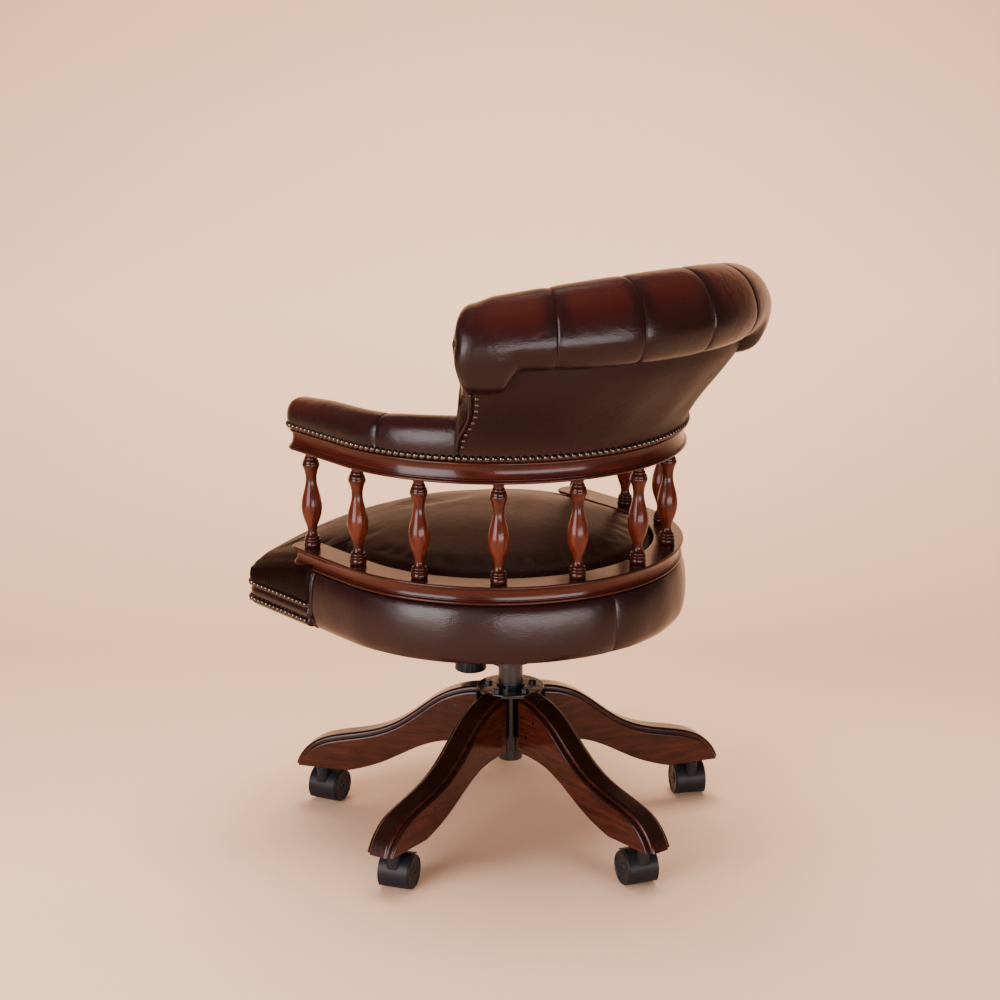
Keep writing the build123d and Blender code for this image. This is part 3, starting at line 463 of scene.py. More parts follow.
def spindle_wood(name, low, high):
    """Turned timber: orange-brown on the swells, with painted shade darkening the turned rings and both ends
    by the rails.
    """
    skin = lacquer_shader(name)
    grain = skin.place((8.0, 8.0, 1.0))
    base = lacquered(skin, grain, (0.030, 0.0048, 0.0022), (0.072, 0.0125, 0.0050), (0.130, 0.028, 0.0092))
    height = skin.split(skin.node("ShaderNodeTexCoord").outputs["Object"])[2]
    # painted shade by height: darkest at both ends by the rails and in the turned rings, lightest on the
    # swells
    rings = skin.grey_ramp(skin.level(height, low, high),
                           [(0.0, 0.75), (0.12, 0.80), (0.20, 0.45), (0.32, 0.0), (0.62, 0.1), (0.70, 0.55),
                            (0.80, 0.30), (0.88, 0.75), (0.97, 0.6)])
    skin.colour(skin.mix(rings, base, (0.010, 0.0022, 0.0013)))
    return skin.material


def enamel(name, colour, gloss, depth=0.0003):
    skin = Shader(name, Specular_IOR_Level=0.4)
    where = skin.place()
    skin.colour(skin.mix(skin.noise(where, 30, 3), colour, tuple(2.2 * c for c in colour)))
    skin.rough(skin.spread(skin.noise(where, 60, 3), *gloss))
    skin.bump(skin.noise(where, 90, 2), depth)
    return skin.material


def moulded(name, colour, gloss):
    """Injection-moulded nylon: fine spark texture, with dust in the surface."""
    skin = Shader(name, Specular_IOR_Level=0.15)
    where = skin.place()
    dust = skin.noise(where, 24, 4, 0.6)
    skin.colour(skin.mix(skin.spread(dust, 0.0, 0.4), colour, (0.012, 0.012, 0.014)))
    skin.rough(skin.spread(dust, *gloss))
    skin.bump(skin.noise(where, 900, 2), 0.00012)
    return skin.material


def metal(name, colour, gloss, stretch=(1, 1, 1), depth=0.0001):
    skin = Shader(name, Metallic=1.0)
    where = skin.place(stretch)
    cloud = skin.noise(where, 70, 3, 0.6)
    skin.colour(skin.mix(cloud, tuple(0.55 * c for c in colour), colour))
    skin.rough(skin.spread(skin.noise(where, 140, 3), *gloss))
    skin.bump(skin.noise(where, 300, 2), depth)
    return skin.material


def ply(name):
    skin = Shader(name)
    layers = skin.noise(skin.place((3, 3, 300)), 4, 4)
    skin.colour(skin.ramp(layers, [(0.3, (0.22, 0.13, 0.07)), (0.7, (0.45, 0.31, 0.18))]))
    skin.rough(skin.spread(skin.noise(skin.place(), 40, 3), 0.5, 0.75))
    skin.bump(skin.noise(skin.place((20, 2, 20)), 20, 3), 0.0002)
    return skin.material


def woven(name):
    skin = Shader(name, Sheen_Weight=0.2)
    wave = skin.node("ShaderNodeTexWave", Scale=420.0, Distortion=1.5)
    skin.join(skin.place((1, 1, 0)), wave.inputs["Vector"])
    skin.colour(skin.mix(wave.outputs["Fac"], (0.012, 0.012, 0.013), (0.035, 0.034, 0.035)))
    skin.rough(skin.spread(wave.outputs["Fac"], 0.75, 0.9))
    skin.bump(wave.outputs["Fac"], 0.0002)
    return skin.material


def dress(obj, material):
    obj.data.materials.clear()
    obj.data.materials.append(material)


def cover(piece, material, rub=None):
    """Finish a piece that moves with the seat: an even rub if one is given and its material."""
    if rub is not None:
        paint(piece, np.full(len(piece.data.vertices), rub))
    dress(piece, material)
    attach(piece, "seat")


HIDE_BACK = leather("hide_back", dark=(0.0066, 0.0018, 0.0020), middle=(0.0135, 0.0032, 0.0031),
                    red=(0.029, 0.0050, 0.0027), gloss=(0.19, 0.30), shine=0.22)
HIDE_PANEL = leather("hide_panel", dark=(0.0082, 0.0029, 0.0027), middle=(0.0145, 0.0048, 0.0041),
                     red=(0.025, 0.0068, 0.0050), gloss=(0.38, 0.52), shine=0.11, wrinkle=0.6)
# Seat top: a copy of the seat hide with its colours darkened to about six tenths, as painted shade on the
# seat's top
HIDE_TOP_SHADED = leather("hide_top", dark=(0.0040, 0.0014, 0.0013), middle=(0.0075, 0.0023, 0.0020),
                   red=(0.013, 0.0034, 0.0026), gloss=(0.27, 0.42), shine=0.028, wrinkle=0.4)
HIDE_SEAT = leather("hide_seat", dark=(0.0066, 0.0017, 0.0020), middle=(0.0135, 0.0031, 0.0034),
                    red=(0.021, 0.0048, 0.0042), gloss=(0.19, 0.30), shine=0.25, wrinkle=0.55)
BRONZE = metal("nail_bronze", (0.090, 0.068, 0.054), (0.12, 0.22), depth=0.00006)


def dress_cad():
    """Give every CAD node its finished material."""
    finishes = {
        "hub_black": enamel("hub_black", (0.0022, 0.0022, 0.0025), (0.12, 0.25)),
        "column_black": enamel("column_black", (0.0035, 0.0035, 0.0040), (0.22, 0.38), 0.0001),
        "cast_black": enamel("cast_black", (0.006, 0.006, 0.0065), (0.40, 0.60), 0.0010),
        "nylon_black": moulded("nylon_black", (0.0065, 0.0065, 0.0080), (0.30, 0.50)),
        "knob_black": moulded("knob_black", (0.004, 0.004, 0.0045), (0.22, 0.40)),
        "bright_steel": metal("bright_steel", (0.62, 0.62, 0.63), (0.18, 0.34), (1, 1, 12)),
        "plywood": ply("plywood"),
        "cover_cloth": woven("cover_cloth"),
        "turned_mahogany": spindle_wood("turned_mahogany", LOWER_HIGH.z, RAIL_LOW.z),
        "nail_bronze": BRONZE,
    }
    for part in frame["record"]["subparts"]:
        name = part["node"]
        if part["material_slot"] in finishes:
            dress(nodes[name], finishes[part["material_slot"]])
        elif name.startswith("leg_"):
            low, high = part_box(name)
            middle = (low + high) / 2
            dress(nodes[name], leg_wood(f"{name}_wood", math.atan2(middle.y, middle.x)))
        elif name == "lower_rail":
            dress(nodes[name], rail_wood("lower_rail_wood", LOWER_LOW.z, LOWER_HIGH.z))
        elif name == "upper_rail":
            dress(nodes[name], rail_wood("upper_rail_wood", RAIL_LOW.z, RAIL_HIGH.z))
        else:
            dress(nodes[name], HIDE_PANEL)


# ---------------- rolled back

# Sections are (distance from the ring's axis, height) in millimetres. Angles are in degrees from mid-back.
INNER_WALL = [(227, 618.6), (219.5, 642), (221, 668), (235, 706), (255, 748), (274, 788), (286, 815)]
INNER_ROLL = [(286, 815), (291, 835), (301, 855), (318, 868), (336, 872), (356, 866), (374, 850), (384, 829),
              (389, 802)]
HIDDEN_WALL = [(256.5, 618.6), (257, 631), (270, 655), (286, 678), (303.5, 700), (320, 722), (332, 742),
               (338, 757)]
UNDER_ROLL = [(338, 757), (345, 759), (358, 760.5), (372, 766), (383, 781), (389, 802)]
EAR_WALL = [(256.5, 618.6), (257, 631), (268, 655), (284, 676), (300, 694), (312, 708), (320, 718),
            (326, 725)]
UNDER_EAR = [(326, 725), (338, 728), (354, 731), (370, 740), (383, 763), (389, 802)]
WALL_ROWS = 46
ROLL_ROWS = 34
EVEN_SPAN = 40
END_SPAN = 7
EAR_BLEND = (34.3, 38.4)
END_ANGLES = [(618, 50.8), (645, 50.4), (670, 49.4), (698, 47.8), (722, 47.0), (740, 47.0), (757, 47.4),
              (830, 47.3), (873, 46.6)]
RIDGE = 0.872
RIDGE_FALL = 0.025
FALL_START = 0.76
FALL_SPAN = 43
FACING_TOP = (0.736, 0.722)
FACING_BLEND = (40.2, 41.4)
FACING_SHIFT = 0.0135
BUTTON_ROWS = [((291, 833), (-3, -1, 1, 3)), ((270, 780), (-4, -2, 0, 2, 4)), ((248, 733), (-3, -1, 1, 3))]
INSIDE_GIRTH = 275
ROLL_GIRTH = 375
END_ROUND = 0.020
END_EDGE = (0.738, 0.722)
END_TURNS = (20, 40, 58, 75, 90)
END_CROWN = [(0.03, 0.0015), (0.042, 0.003), (0.2, 0.0035)]
END_RINGS = len(END_TURNS) + len(END_CROWN)


def angle_at(table, height):
    heights, angles = zip(*table)
    return np.interp(np.asarray(height) / MM, heights, angles)


def segment_distance(x, y, start, end):
    """Distance from points to a straight segment, all in the same flat units."""
    (ax, ay), (bx, by) = start, end
    dx, dy = bx - ax, by - ay
    share = np.clip(((x - ax) * dx + (y - ay) * dy) / (dx * dx + dy * dy), 0, 1)
    return np.hypot(x - ax - share * dx, y - ay - share * dy)


def back_columns():
    """Angles across the back, closer together beside each pleat."""
    angles = {round(a, 2) for a in np.arange(-33.75, 33.8, 1.25)}
    angles |= {round(side * a, 2) for side in (-1, 1) for a in np.arange(34.4, 40.01, 0.7)}
    for pleat in PLEATS:
        angles = {a for a in angles if abs(a - pleat) > 1.1}
        angles |= {round(pleat + step, 2) for step in (-1.7, -0.95, -0.45, -0.18, 0, 0.18, 0.45, 0.95, 1.7)}
    return np.array(sorted(angles))


def split_roll(over, under, count):
    """One smooth curve over the roll and back under it, halved at its outermost point."""
    whole = curve_through(over + under[-2::-1], 400)
    tip = int(np.argmin(np.linalg.norm(whole - np.array(over[-1]), axis=1)))
    return resample(whole[:tip + 1], count), resample(whole[tip:][::-1], count)


def back_section():
    """The closed section at mid-back and at the ears, in millimetres, with each point's mate across it."""
    over, under = split_roll(INNER_ROLL, UNDER_ROLL, ROLL_ROWS)
    under_ear = split_roll(INNER_ROLL, UNDER_EAR, ROLL_ROWS)[1]
    inner = np.vstack([curve_through(INNER_WALL, WALL_ROWS), over[1:]])
    outer = np.vstack([curve_through(HIDDEN_WALL, WALL_ROWS), under[1:]])
    ear = np.vstack([curve_through(EAR_WALL, WALL_ROWS), under_ear[1:]])
    count = len(inner)
    middle = np.vstack([inner, outer[-2::-1]])
    ears = np.vstack([inner, ear[-2::-1]])
    mates = np.arange(2 * count - 2, -1, -1)
    return middle, ears, mates, count


def roll_sections(middle, ears, tip):
    """Sections across the back, as (radius, height, angle) points, the last ones leaning with the ends."""
    steps = np.linspace(0, 1, 7)[1:]
    columns = []
    for side, run in ((-1, steps[::-1]), (0, back_columns()), (1, steps)):
        for value in run:
            nominal = value if side == 0 else side * (EVEN_SPAN + END_SPAN * value)
            ear = smoothstep(*EAR_BLEND, abs(nominal))
            flat = (middle * (1 - ear) + ears * ear) * MM
            fall = RIDGE_FALL * (nominal / FALL_SPAN) ** 2 / (RIDGE - FALL_START)
            flat[:, 1] -= np.clip(flat[:, 1] - FALL_START, 0, None) * fall
            behind = (np.arange(len(flat)) > tip) * smoothstep(*FACING_TOP, flat[:, 1])
            flat[:, 0] += behind * FACING_SHIFT * smoothstep(*FACING_BLEND, abs(nominal))
            last = angle_at(END_ANGLES, flat[:, 1]) - np.degrees(END_ROUND / flat[:, 0])
            angle = np.full(len(flat), float(value))
            if side:
                angle = side * (EVEN_SPAN + (last - EVEN_SPAN) * value)
            columns.append(np.column_stack([flat, angle]))
    return np.array(columns)


def tufting(angles, middle, tip):
    """Where buttons, creases and pleats lie on the sections, and how deep they pull, all in millimetres."""
    walk = np.concatenate([[0], np.cumsum(np.linalg.norm(np.diff(middle, axis=0), axis=1))])
    across = np.radians(angles) * INSIDE_GIRTH
    down = np.broadcast_to(walk, across.shape)
    buttons = []
    for spot, row in BUTTON_ROWS:
        height = walk[np.argmin(np.linalg.norm(middle[:tip] - spot, axis=1))]
        buttons.append([(math.radians(step * BUTTON_STEP) * INSIDE_GIRTH, height) for step in row])
    seams = [(spot, (spot[0], -20)) for spot in buttons[-1]]
    for upper, lower in zip(buttons, buttons[1:]):
        seams += [(a, b) for a in upper for b in lower if abs(a[0] - b[0]) < 50]
    crease = np.min([segment_distance(across, down, start, end) for start, end in seams], axis=0)
    dimple = np.min([np.hypot(across - x, down - y) for x, y in sum(buttons, [])], axis=0)
    top = buttons[0][0][1]
    pleat = np.full(across.shape, 1e3)
    for angle in PLEATS:
        gap = np.abs(np.radians(angles - angle)) * ROLL_GIRTH
        pleat = np.minimum(pleat, np.where(down > top, gap, np.hypot(gap, down - top)))
    inside = (np.arange(across.shape[1]) < tip) * smoothstep(walk[tip - 1] + 10, top + 10, down)
    inside = inside * smoothstep(0, 30, down)
    over = smoothstep(top - 8, top + 14, down) * smoothstep(walk[tip - 1] + 130, walk[tip - 1] + 96, down)
    depth = inside * (5.0 * np.exp(-crease / 3.5) + 4.0 * np.exp(-(crease / 16) ** 2) - 3.5)
    depth = depth + inside * (9.0 * np.exp(-(dimple / 11) ** 2) + 5.0 * np.exp(-(dimple / 24) ** 2))
    depth = depth + over * (2.6 * np.exp(-pleat / 1.1) + 1.0 * np.exp(-(pleat / 10) ** 2) - 0.4)
    return SimpleNamespace(walk=walk, buttons=buttons, crease=crease, dimple=dimple, pleat=pleat,
                           inside=inside, over=over, depth=depth)


def end_rings(column, middle, mates, tip, sign):
    """Rings that round one end of the roll over its edge and crown it."""
    count = len(mates)
    outer_side = np.arange(count) > tip
    square = smoothstep(*END_EDGE, np.where(outer_side, middle[:, 1], middle[mates, 1]) * MM)
    reach_share = np.where(outer_side, 0.5 - 0.42 * square, 0.5 + 0.42 * square)
    tightness = np.where(outer_side, 1 - 0.9 * square, 1)
    target = column + (column[mates] - column) * reach_share[:, None]
    width = np.linalg.norm(column[mates] - column, axis=1)
    core = int(np.flatnonzero((width >= 4.2 * END_ROUND) & (np.arange(count) < tip))[-1])
    nose = (np.arange(count) > core) & (np.arange(count) < mates[core])
    target[nose] = (column[core] + column[mates[core]]) / 2
    room = np.linalg.norm(target - column, axis=1)
    away = np.cross(np.array([0, 0, 1.0]), column - np.array([0, RING_Y, 0]))
    away = -sign * away / np.linalg.norm(away, axis=1, keepdims=True)
    caps = [(END_ROUND * (1 - math.cos(turn)), END_ROUND * math.sin(turn)) for turn in np.radians(END_TURNS)]
    caps += [(inset, END_ROUND + crown) for inset, crown in END_CROWN]
    rings = []
    for inset, reach in caps:
        used = np.minimum(inset * tightness, 0.93 * room)
        share = np.where(room > 1e-6, used / np.maximum(room, 1e-6), 0)
        rings.append(column + (target - column) * share[:, None] + away * reach)
    return rings


def make_roll():
    """Inside back and roll in one deep-buttoned piece, pleated over the top and closed round its ends."""
    middle, ears, mates, tip = back_section()
    shape = roll_sections(middle, ears, tip)
    angles = shape[:, :, 2]
    tufts = tufting(angles, middle, tip)
    points = np.array([polar(c[:, 0], c[:, 2], c[:, 1]) for c in shape])
    outward = np.cross(np.gradient(points, axis=0), np.gradient(points, axis=1))
    outward /= np.maximum(np.linalg.norm(outward, axis=2, keepdims=True), 1e-12)
    if outward[len(points) // 2, tip - 1] @ np.array([0, 1.0, 0]) < 0:
        outward = -outward
    hollowed = points - outward * (tufts.depth * MM)[:, :, None]

    upward = outward[:, :, 2]
    facing_up = smoothstep(-0.05, 0.60, upward) * (1 - 0.5 * smoothstep(0.8, 1.0, upward))
    rub = tufts.over * (0.08 + 0.58 * facing_up * smoothstep(6, 26, tufts.pleat))
    rub = rub * (1 - smoothstep(38, 44, np.abs(angles)) * 0.5)
    rub = rub + tufts.inside * 0.5 * smoothstep(3, 30, tufts.crease)

    first = end_rings(hollowed[0], middle, mates, tip, -1)
    last = end_rings(hollowed[-1], middle, mates, tip, 1)
    rings = np.array([*first[::-1], *hollowed, *last])
    rub_rings = [rub[0] * 0.6] * END_RINGS + list(rub) + [rub[-1] * 0.6] * END_RINGS
    count = len(mates)
    faces = grid_faces(*rings.shape[:2], wrap_rows=True)
    for start in (0, (len(rings) - 1) * count):
        faces += [tuple(start + n for n in (k, k + 1, mates[k + 1], mates[k])) for k in range(tip - 2)]
        faces.append((start + tip - 2, start + tip - 1, start + tip))
    roll = make_object("back_roll", rings.reshape(-1, 3), faces)
    paint(roll, np.array(rub_rings).ravel())
    held = np.zeros(rings.shape[:2], bool)
    held[:END_RINGS] = held[-END_RINGS:] = True
    held[:, tip + ROLL_ROWS - 9:] = True
    held[:, :4] = True
    body = held[END_RINGS:-END_RINGS]
    body |= (tufts.inside > 0.2) & ((tufts.crease < 6) | (tufts.dimple < 12))
    body |= (tufts.over > 0.2) & (tufts.pleat < 3.0)
    puff(roll, tidy_with_held(roll, held.ravel().astype(float)), 20.0, 0.0035)
    subdivide(roll)
    cover(roll, HIDE_BACK)
    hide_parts("back_cushion")
    make_buttons(tufts, angles, hollowed, outward, tip)


def make_buttons(tufts, angles, hollowed, outward, tip):
    """Covered buttons, each at the bottom of its dimple."""
    places = []
    for (_, row), line in zip(BUTTON_ROWS, tufts.buttons):
        for step, (_, height) in zip(row, line):
            k = int(np.argmin(np.abs(tufts.walk[:tip] - height)))
            c = int(np.argmin(np.abs(angles[:, k] - step * BUTTON_STEP)))
            places.append((hollowed[c, k] + outward[c, k] * 0.0005, outward[c, k]))
    caps = domes("covered_buttons", places, 0.0085, 0.0050, 24)
    cover(caps, HIDE_BACK, 0.35)
    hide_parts("back_buttons")


# ---------------- outside back and its facings

SKIN = [(274.6, 618.6), (275.4, 631), (288, 655), (304, 678), (321.5, 700), (338, 722), (350, 742),
        (357, 764)]
SKIN_THICK = 0.0036
FACING = [(626, 49.9), (645, 49.2), (656, 48.5), (668, 47.0), (681, 45.7), (691, 45.0), (706, 44.6),
          (722, 44.4), (736, 44.4)]
FACING_NAILS = np.arange(0.640, 0.722, 0.0098)


def make_outside_back():
    """Taut leather panel on the outside of the back, with its edges turned in."""
    section = curve_through(SKIN, 40) * MM
    shares = np.concatenate([[-1, -0.992], np.linspace(-0.98, 0.98, 79), [0.992, 1]])
    columns = []
    for share in shares:
        angle = share * angle_at(FACING, section[:, 1])
        slack = 0.0012 * np.sin(angle * 0.35) * np.sin((section[:, 1] - 0.62) * 24)
        turned = 0.0022 * smoothstep(0.975, 1.0, abs(share))
        columns.append(polar(section[:, 0] + slack - turned, angle, section[:, 1]))
    outer = np.array(columns)
    edge = angle_at(FACING, section[:, 1])
    inner = np.array([polar(section[:, 0] - SKIN_THICK, share * edge, section[:, 1]) for share in shares])
    rows = len(section)
    loops = np.concatenate([outer, inner[:, ::-1]], axis=1)
    faces = grid_faces(len(shares), 2 * rows, wrap_rows=True)
    faces += grid_cap(0, rows) + grid_cap((len(shares) - 1) * 2 * rows, rows)
    panel = tidy_mesh(make_object("outside_back_leather", loops.reshape(-1, 3), faces))
    height = coordinates(panel)[:, 2]
    paint(panel, 0.10 + 0.55 * smoothstep(0.66, 0.62, height) + 0.1 * smoothstep(0.70, 0.76, height))
    subdivide(panel)
    cover(panel, HIDE_PANEL)
    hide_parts("outside_back")


def grid_cap(start, rows):
    """Quads that close the open end of a two-sided panel whose loop starts at one point number."""
    last = start + 2 * rows - 1
    return [(start + k, start + k + 1, last - k - 1, last - k) for k in range(rows - 1)]


def make_facing_trim():
    """Piping and nails up each front edge of the outside back."""
    heights = np.linspace(0.636, 0.727, 26)
    skin = curve_through(SKIN, 200) * MM
    radius = np.interp(heights, skin[:, 1], skin[:, 0])
    for name, sign in (("left", 1), ("right", -1)):
        path = polar(radius + 0.0005, sign * (angle_at(FACING, heights) + 0.55), heights)
        cover(tube(f"facing_piping_{name}", path, 0.0026), HIDE_BACK, 0.25)
    places = []
    for sign in (1, -1):
        for height in FACING_NAILS:
            reach = float(np.interp(height, skin[:, 1], skin[:, 0]))
            angle = sign * (float(angle_at(FACING, height)) - 1.0)
            turn = math.radians(angle)
            slope = (math.sin(turn) * 0.8, math.cos(turn) * 0.8, -0.6)
            places.append((polar(reach - 0.0004, angle, height), slope))
    cover(domes("facing_nails", places, 0.0036, 0.0020), BRONZE)


# ---------------- arm pads

PAD_SECTION = [(-23.4, 618.7), (-24.3, 622.5), (-24.7, 627), (-25.7, 634), (-25.6, 643), (-23.2, 653),
               (-17.5, 661.5), (-9.5, 666), (0, 667.2)]
PAD_ROWS = 22
PAD_START = 49.2
PAD_STEP = 0.0055
PAD_HALF = 0.030
PAD_HELD = 0.627
ARM_SEAM_Y = 0.035


def arm_rise(y):
    """How much higher than its front the pad's top is."""
    return float(np.interp(y, (-0.167, -0.093, 0.0, 0.115, 0.197), (-0.006, 0.0, 0.002, 0.009, 0.011)))


def pad_walks():
    """Places of the pad's sections along the gallery, closer together at the seam, and the seam's own."""
    quarter = RING * math.pi / 2
    seam = quarter - math.asin((ARM_SEAM_Y - RING_Y) / (RING + RAIL_HALF)) * RING
    front = quarter + RING_Y - ARM_FRONT
    walks = np.concatenate([np.arange(math.radians(PAD_START) * RING, front, PAD_STEP), [front]])
    near = seam + np.array([-0.006, -0.003, -0.0012, 0, 0.0012, 0.003, 0.006])
    return np.sort(np.concatenate([walks[np.abs(walks - seam) > 0.0075], near])), seam


def pad_column(section, share, walk, from_seam, sign):
    """The pad's section at one place, drawn in at the seam."""
    sink = 2.2 * math.exp(-from_seam / 1.3) + 1.0 * math.exp(-(from_seam / 12) ** 2)
    sink = (sink + 0.7 * math.exp(-abs(from_seam - 14) / 1.6)) * MM
    out = section[:, 0] * (1 - sink / PAD_HALF * smoothstep(0.05, 0.3, share))
    lift = arm_rise(ring_point(walk, 0, 0)[1])
    up = section[:, 1] + lift * share - sink * smoothstep(0.6, 1.0, share)
    return [ring_point(sign * walk, o, z) for o, z in zip(out, up)]


def make_arm_pad(name, sign, node):
    """Padded arm: a rounded section along the rail, turned round its front end, with a seam across it."""
    half = curve_through(PAD_SECTION, PAD_ROWS) * MM
    section = np.vstack([half, half[-2::-1] * (-1, 1)])
    share = (section[:, 1] - section[0, 1]) / (section[:, 1].max() - section[0, 1])
    edge = smoothstep(0.35, 0.75, share)
    walks, seam = pad_walks()
    rows = len(section)
    points = []
    rub = []
    for walk in walks:
        from_seam = abs(walk - seam) / MM
        points += pad_column(section, share, walk, from_seam, sign)
        worn = 0.35 + 0.45 * smoothstep(walks[-1] - 0.12, walks[-1], walk)
        rub.append(edge * (1 - smoothstep(0.93, 1.0, share) * 0.4) * worn * smoothstep(0, 10, from_seam))
    faces = grid_faces(len(walks), rows)
    last = (len(walks) - 1) * rows
    faces += [(i, i + rows, i + 2 * rows - 1, i + rows - 1) for i in range(0, last, rows)]
    faces.append(tuple(range(rows)))
    ladders = [[last + k for k in range(PAD_ROWS)]]
    lift = arm_rise(ARM_FRONT) * share
    for turn in np.radians(np.linspace(0, 180, 15)[1:-1]):
        ladders.append([len(points) + k for k in range(PAD_ROWS)])
        points += [(sign * (RING + o * math.cos(turn)), ARM_FRONT + o * math.sin(turn), z + up)
                   for (o, z), up in zip(half, lift)]
        rub.append(edge[:PAD_ROWS] * 0.8)
    ladders.append([last + rows - 1 - k for k in range(PAD_ROWS)])
    for a, b in zip(ladders, ladders[1:]):
        faces += [(a[k], b[k], b[k + 1], a[k + 1]) for k in range(PAD_ROWS - 1)]
    faces.append(tuple(ladder[0] for ladder in ladders))
    pad = make_object(name, points, faces)
    paint(pad, np.concatenate(rub))
    held = np.array([p[2] < PAD_HELD for p in points], float)
    held[:2 * rows] = 1
    for number in np.flatnonzero(np.abs(walks - seam) < 0.002):
        held[number * rows:(number + 1) * rows] = 1
    puff(pad, tidy_with_held(pad, held), 20.0, 0.0015)
    subdivide(pad)
    cover(pad, HIDE_BACK)
    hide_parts(node)


# ---------------- seat

EDGE_ROUND = 0.028
TUCK_ROUND = 0.024
SKIRT_END = 0.371
SKIRT_SECTION = [(0.0, 402), (1.2, 392), (1.6, 382), (0.6, 374), (-1.5, 370.5), (-8, 369)]
BORDER_SECTION = [(-8, 371), (-1.5, 370.5), (-0.6, 367), (-1.9, 363), (-0.2, 359), (0.5, 355), (-0.2, 351),
                  (-1.9, 347.5), (-0.6, 343), (-0.8, 338.5), (-4, 335), (-16, 334), (-16, 371)]
SEAT_CENTRE = np.array([0, -0.15])
OPEN_RINGS = 46


def front_outline(back):
    """Seat edge from +X round the front to -X, from a given depth: points and outward directions."""
    corner = SEAT_CORNER
    line = [(SEAT_HALF, y) for y in np.arange(back, SEAT_FRONT + corner, -0.006)]
    line += [(SEAT_HALF - corner + corner * math.cos(t), SEAT_FRONT + corner - corner * math.sin(t) * 1.04)
             for t in np.radians(np.linspace(0, 80, 12))]
    for x in np.linspace(SEAT_HALF - corner * 0.85, 0, 34):
        line.append((x, SEAT_FRONT - SEAT_BOW * (1 - (x / SEAT_HALF) ** 2)))
    line = np.array(line)
    line = np.vstack([line, (line * (-1, 1))[-2::-1]])
    line = resample(line, 230)
    along = np.gradient(line, axis=0)
    along /= np.linalg.norm(along, axis=1, keepdims=True)
    outward = np.column_stack([-along[:, 1], along[:, 0]])
    return line, outward


def dome_height(x, y):
    return DOME_TOP - DOME_RADIUS + np.sqrt(DOME_RADIUS ** 2 - x ** 2 - (y - DOME_Y) ** 2)


def tuck_outline(tuck):
    """Where the hide is tucked down inside the lower rail, from one side seam round the back to the other."""
    inner = [(-tuck, SIDE_SEAM), *[(-tuck, y) for y in np.linspace(SIDE_SEAM + 0.01, RING_Y, 12)]]
    inner += [(tuck * math.sin(t), RING_Y + tuck * math.cos(t)) for t in np.radians(np.linspace(-88, 88, 90))]
    inner += [(tuck, y) for y in np.linspace(RING_Y, SIDE_SEAM + 0.01, 12)] + [(tuck, SIDE_SEAM)]
    return np.array(inner)


def rounded(gap, radius):
    """How far a rounded edge has dropped, at each distance from it."""
    return radius - np.sqrt(np.clip(radius ** 2 - np.clip(radius - gap, 0, None) ** 2, 0, None))


def make_seat_top():
    """Domed hide: tucked behind the rail, and pulled over the front edge down to the first row of nails."""
    line, outward = front_outline(SIDE_SEAM - 0.001)
    inner = tuck_outline(RING - 0.0195)
    edge = np.vstack([line, inner])
    front = np.arange(len(edge)) < len(line)
    rings = []
    rub = []
    for share in np.concatenate([np.linspace(0.0, 0.84, 30), np.linspace(0.86, 1.0, 20)]):
        at = SEAT_CENTRE + (edge - SEAT_CENTRE) * share
        gap = np.min(np.linalg.norm(at[:, None] - line[None, ::2], axis=2), axis=1)
        wall = np.min(np.linalg.norm(at[:, None] - inner[None], axis=2), axis=1)
        tuck_round = TUCK_ROUND * smoothstep(SIDE_SEAM - 0.055, SIDE_SEAM + 0.010, at[:, 1])
        height = dome_height(at[:, 0], at[:, 1]) - rounded(gap, EDGE_ROUND) - rounded(wall, tuck_round)
        height += 0.0012 * np.sin(at[:, 0] * 31 + 1.0) * np.sin(at[:, 1] * 27 + 0.5)
        rings.append(np.column_stack([at, height]))
        rub.append(0.15 + 0.25 * smoothstep(0.05, 0.0, gap) * (at[:, 1] < SEAT_CENTRE[1]))
    rim = rings[-1]
    section = curve_through(SKIRT_SECTION, 14) * MM
    normal = np.zeros((len(edge), 2))
    normal[front] = outward
    for out, height in section[1:]:
        ring = rim.copy()
        ring[front, :2] += normal[front] * out
        lowered = (section[0, 1] - height) / (section[0, 1] - section[-1, 1])
        ring[front, 2] = rim[front, 2] + (section[-1, 1] - rim[front, 2]) * lowered
        ring[~front, 2] = rim[~front, 2] - lowered * 0.018
        rings.append(ring)
        rub.append(np.full(len(edge), 0.25))
    for share in (0.93, 0.0):
        under = SEAT_CENTRE + (edge - SEAT_CENTRE) * share
        rings.append(np.column_stack([under, np.full(len(edge), SKIRT_END + 0.002)]))
        rub.append(np.full(len(edge), 0.1))
    shape = np.array(rings)
    top = make_object("seat_top_leather", shape.reshape(-1, 3), grid_faces(*shape.shape[:2], wrap_rows=True))
    paint(top, np.array(rub).ravel())
    held = np.ones(shape.shape[:2])
    held[:OPEN_RINGS] = 0
    puff(top, tidy_with_held(top, held.ravel()), 3.0, 0.002)
    # dressed in the darker copy of the seat hide, painted shade on the seat's top
    cover(top, HIDE_TOP_SHADED)
    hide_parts("seat_cushion")


def make_seat_border():
    """Narrow padded band round the seat's front, between its two rows of nails."""
    section = curve_through(BORDER_SECTION, 44) * MM
    line, outward = front_outline(SIDE_SEAM - 0.001)
    loops = np.array([[(*(spot + side * out), z) for out, z in section] for spot, side in zip(line, outward)])
    border = loft("seat_border_leather", loops)
    subdivide(border)
    cover(border, HIDE_SEAT, 0.25)


BACK_JOIN = 0.008
APRON_SECTION = [(17.5, 417.4), (21.5, 411), (24.4, 400), (26.0, 386), (26.4, 370), (25.6, 356), (22.5, 343),
                 (15.5, 333.5), (6, 330.2), (2.2, 331), (2.2, 417.4)]


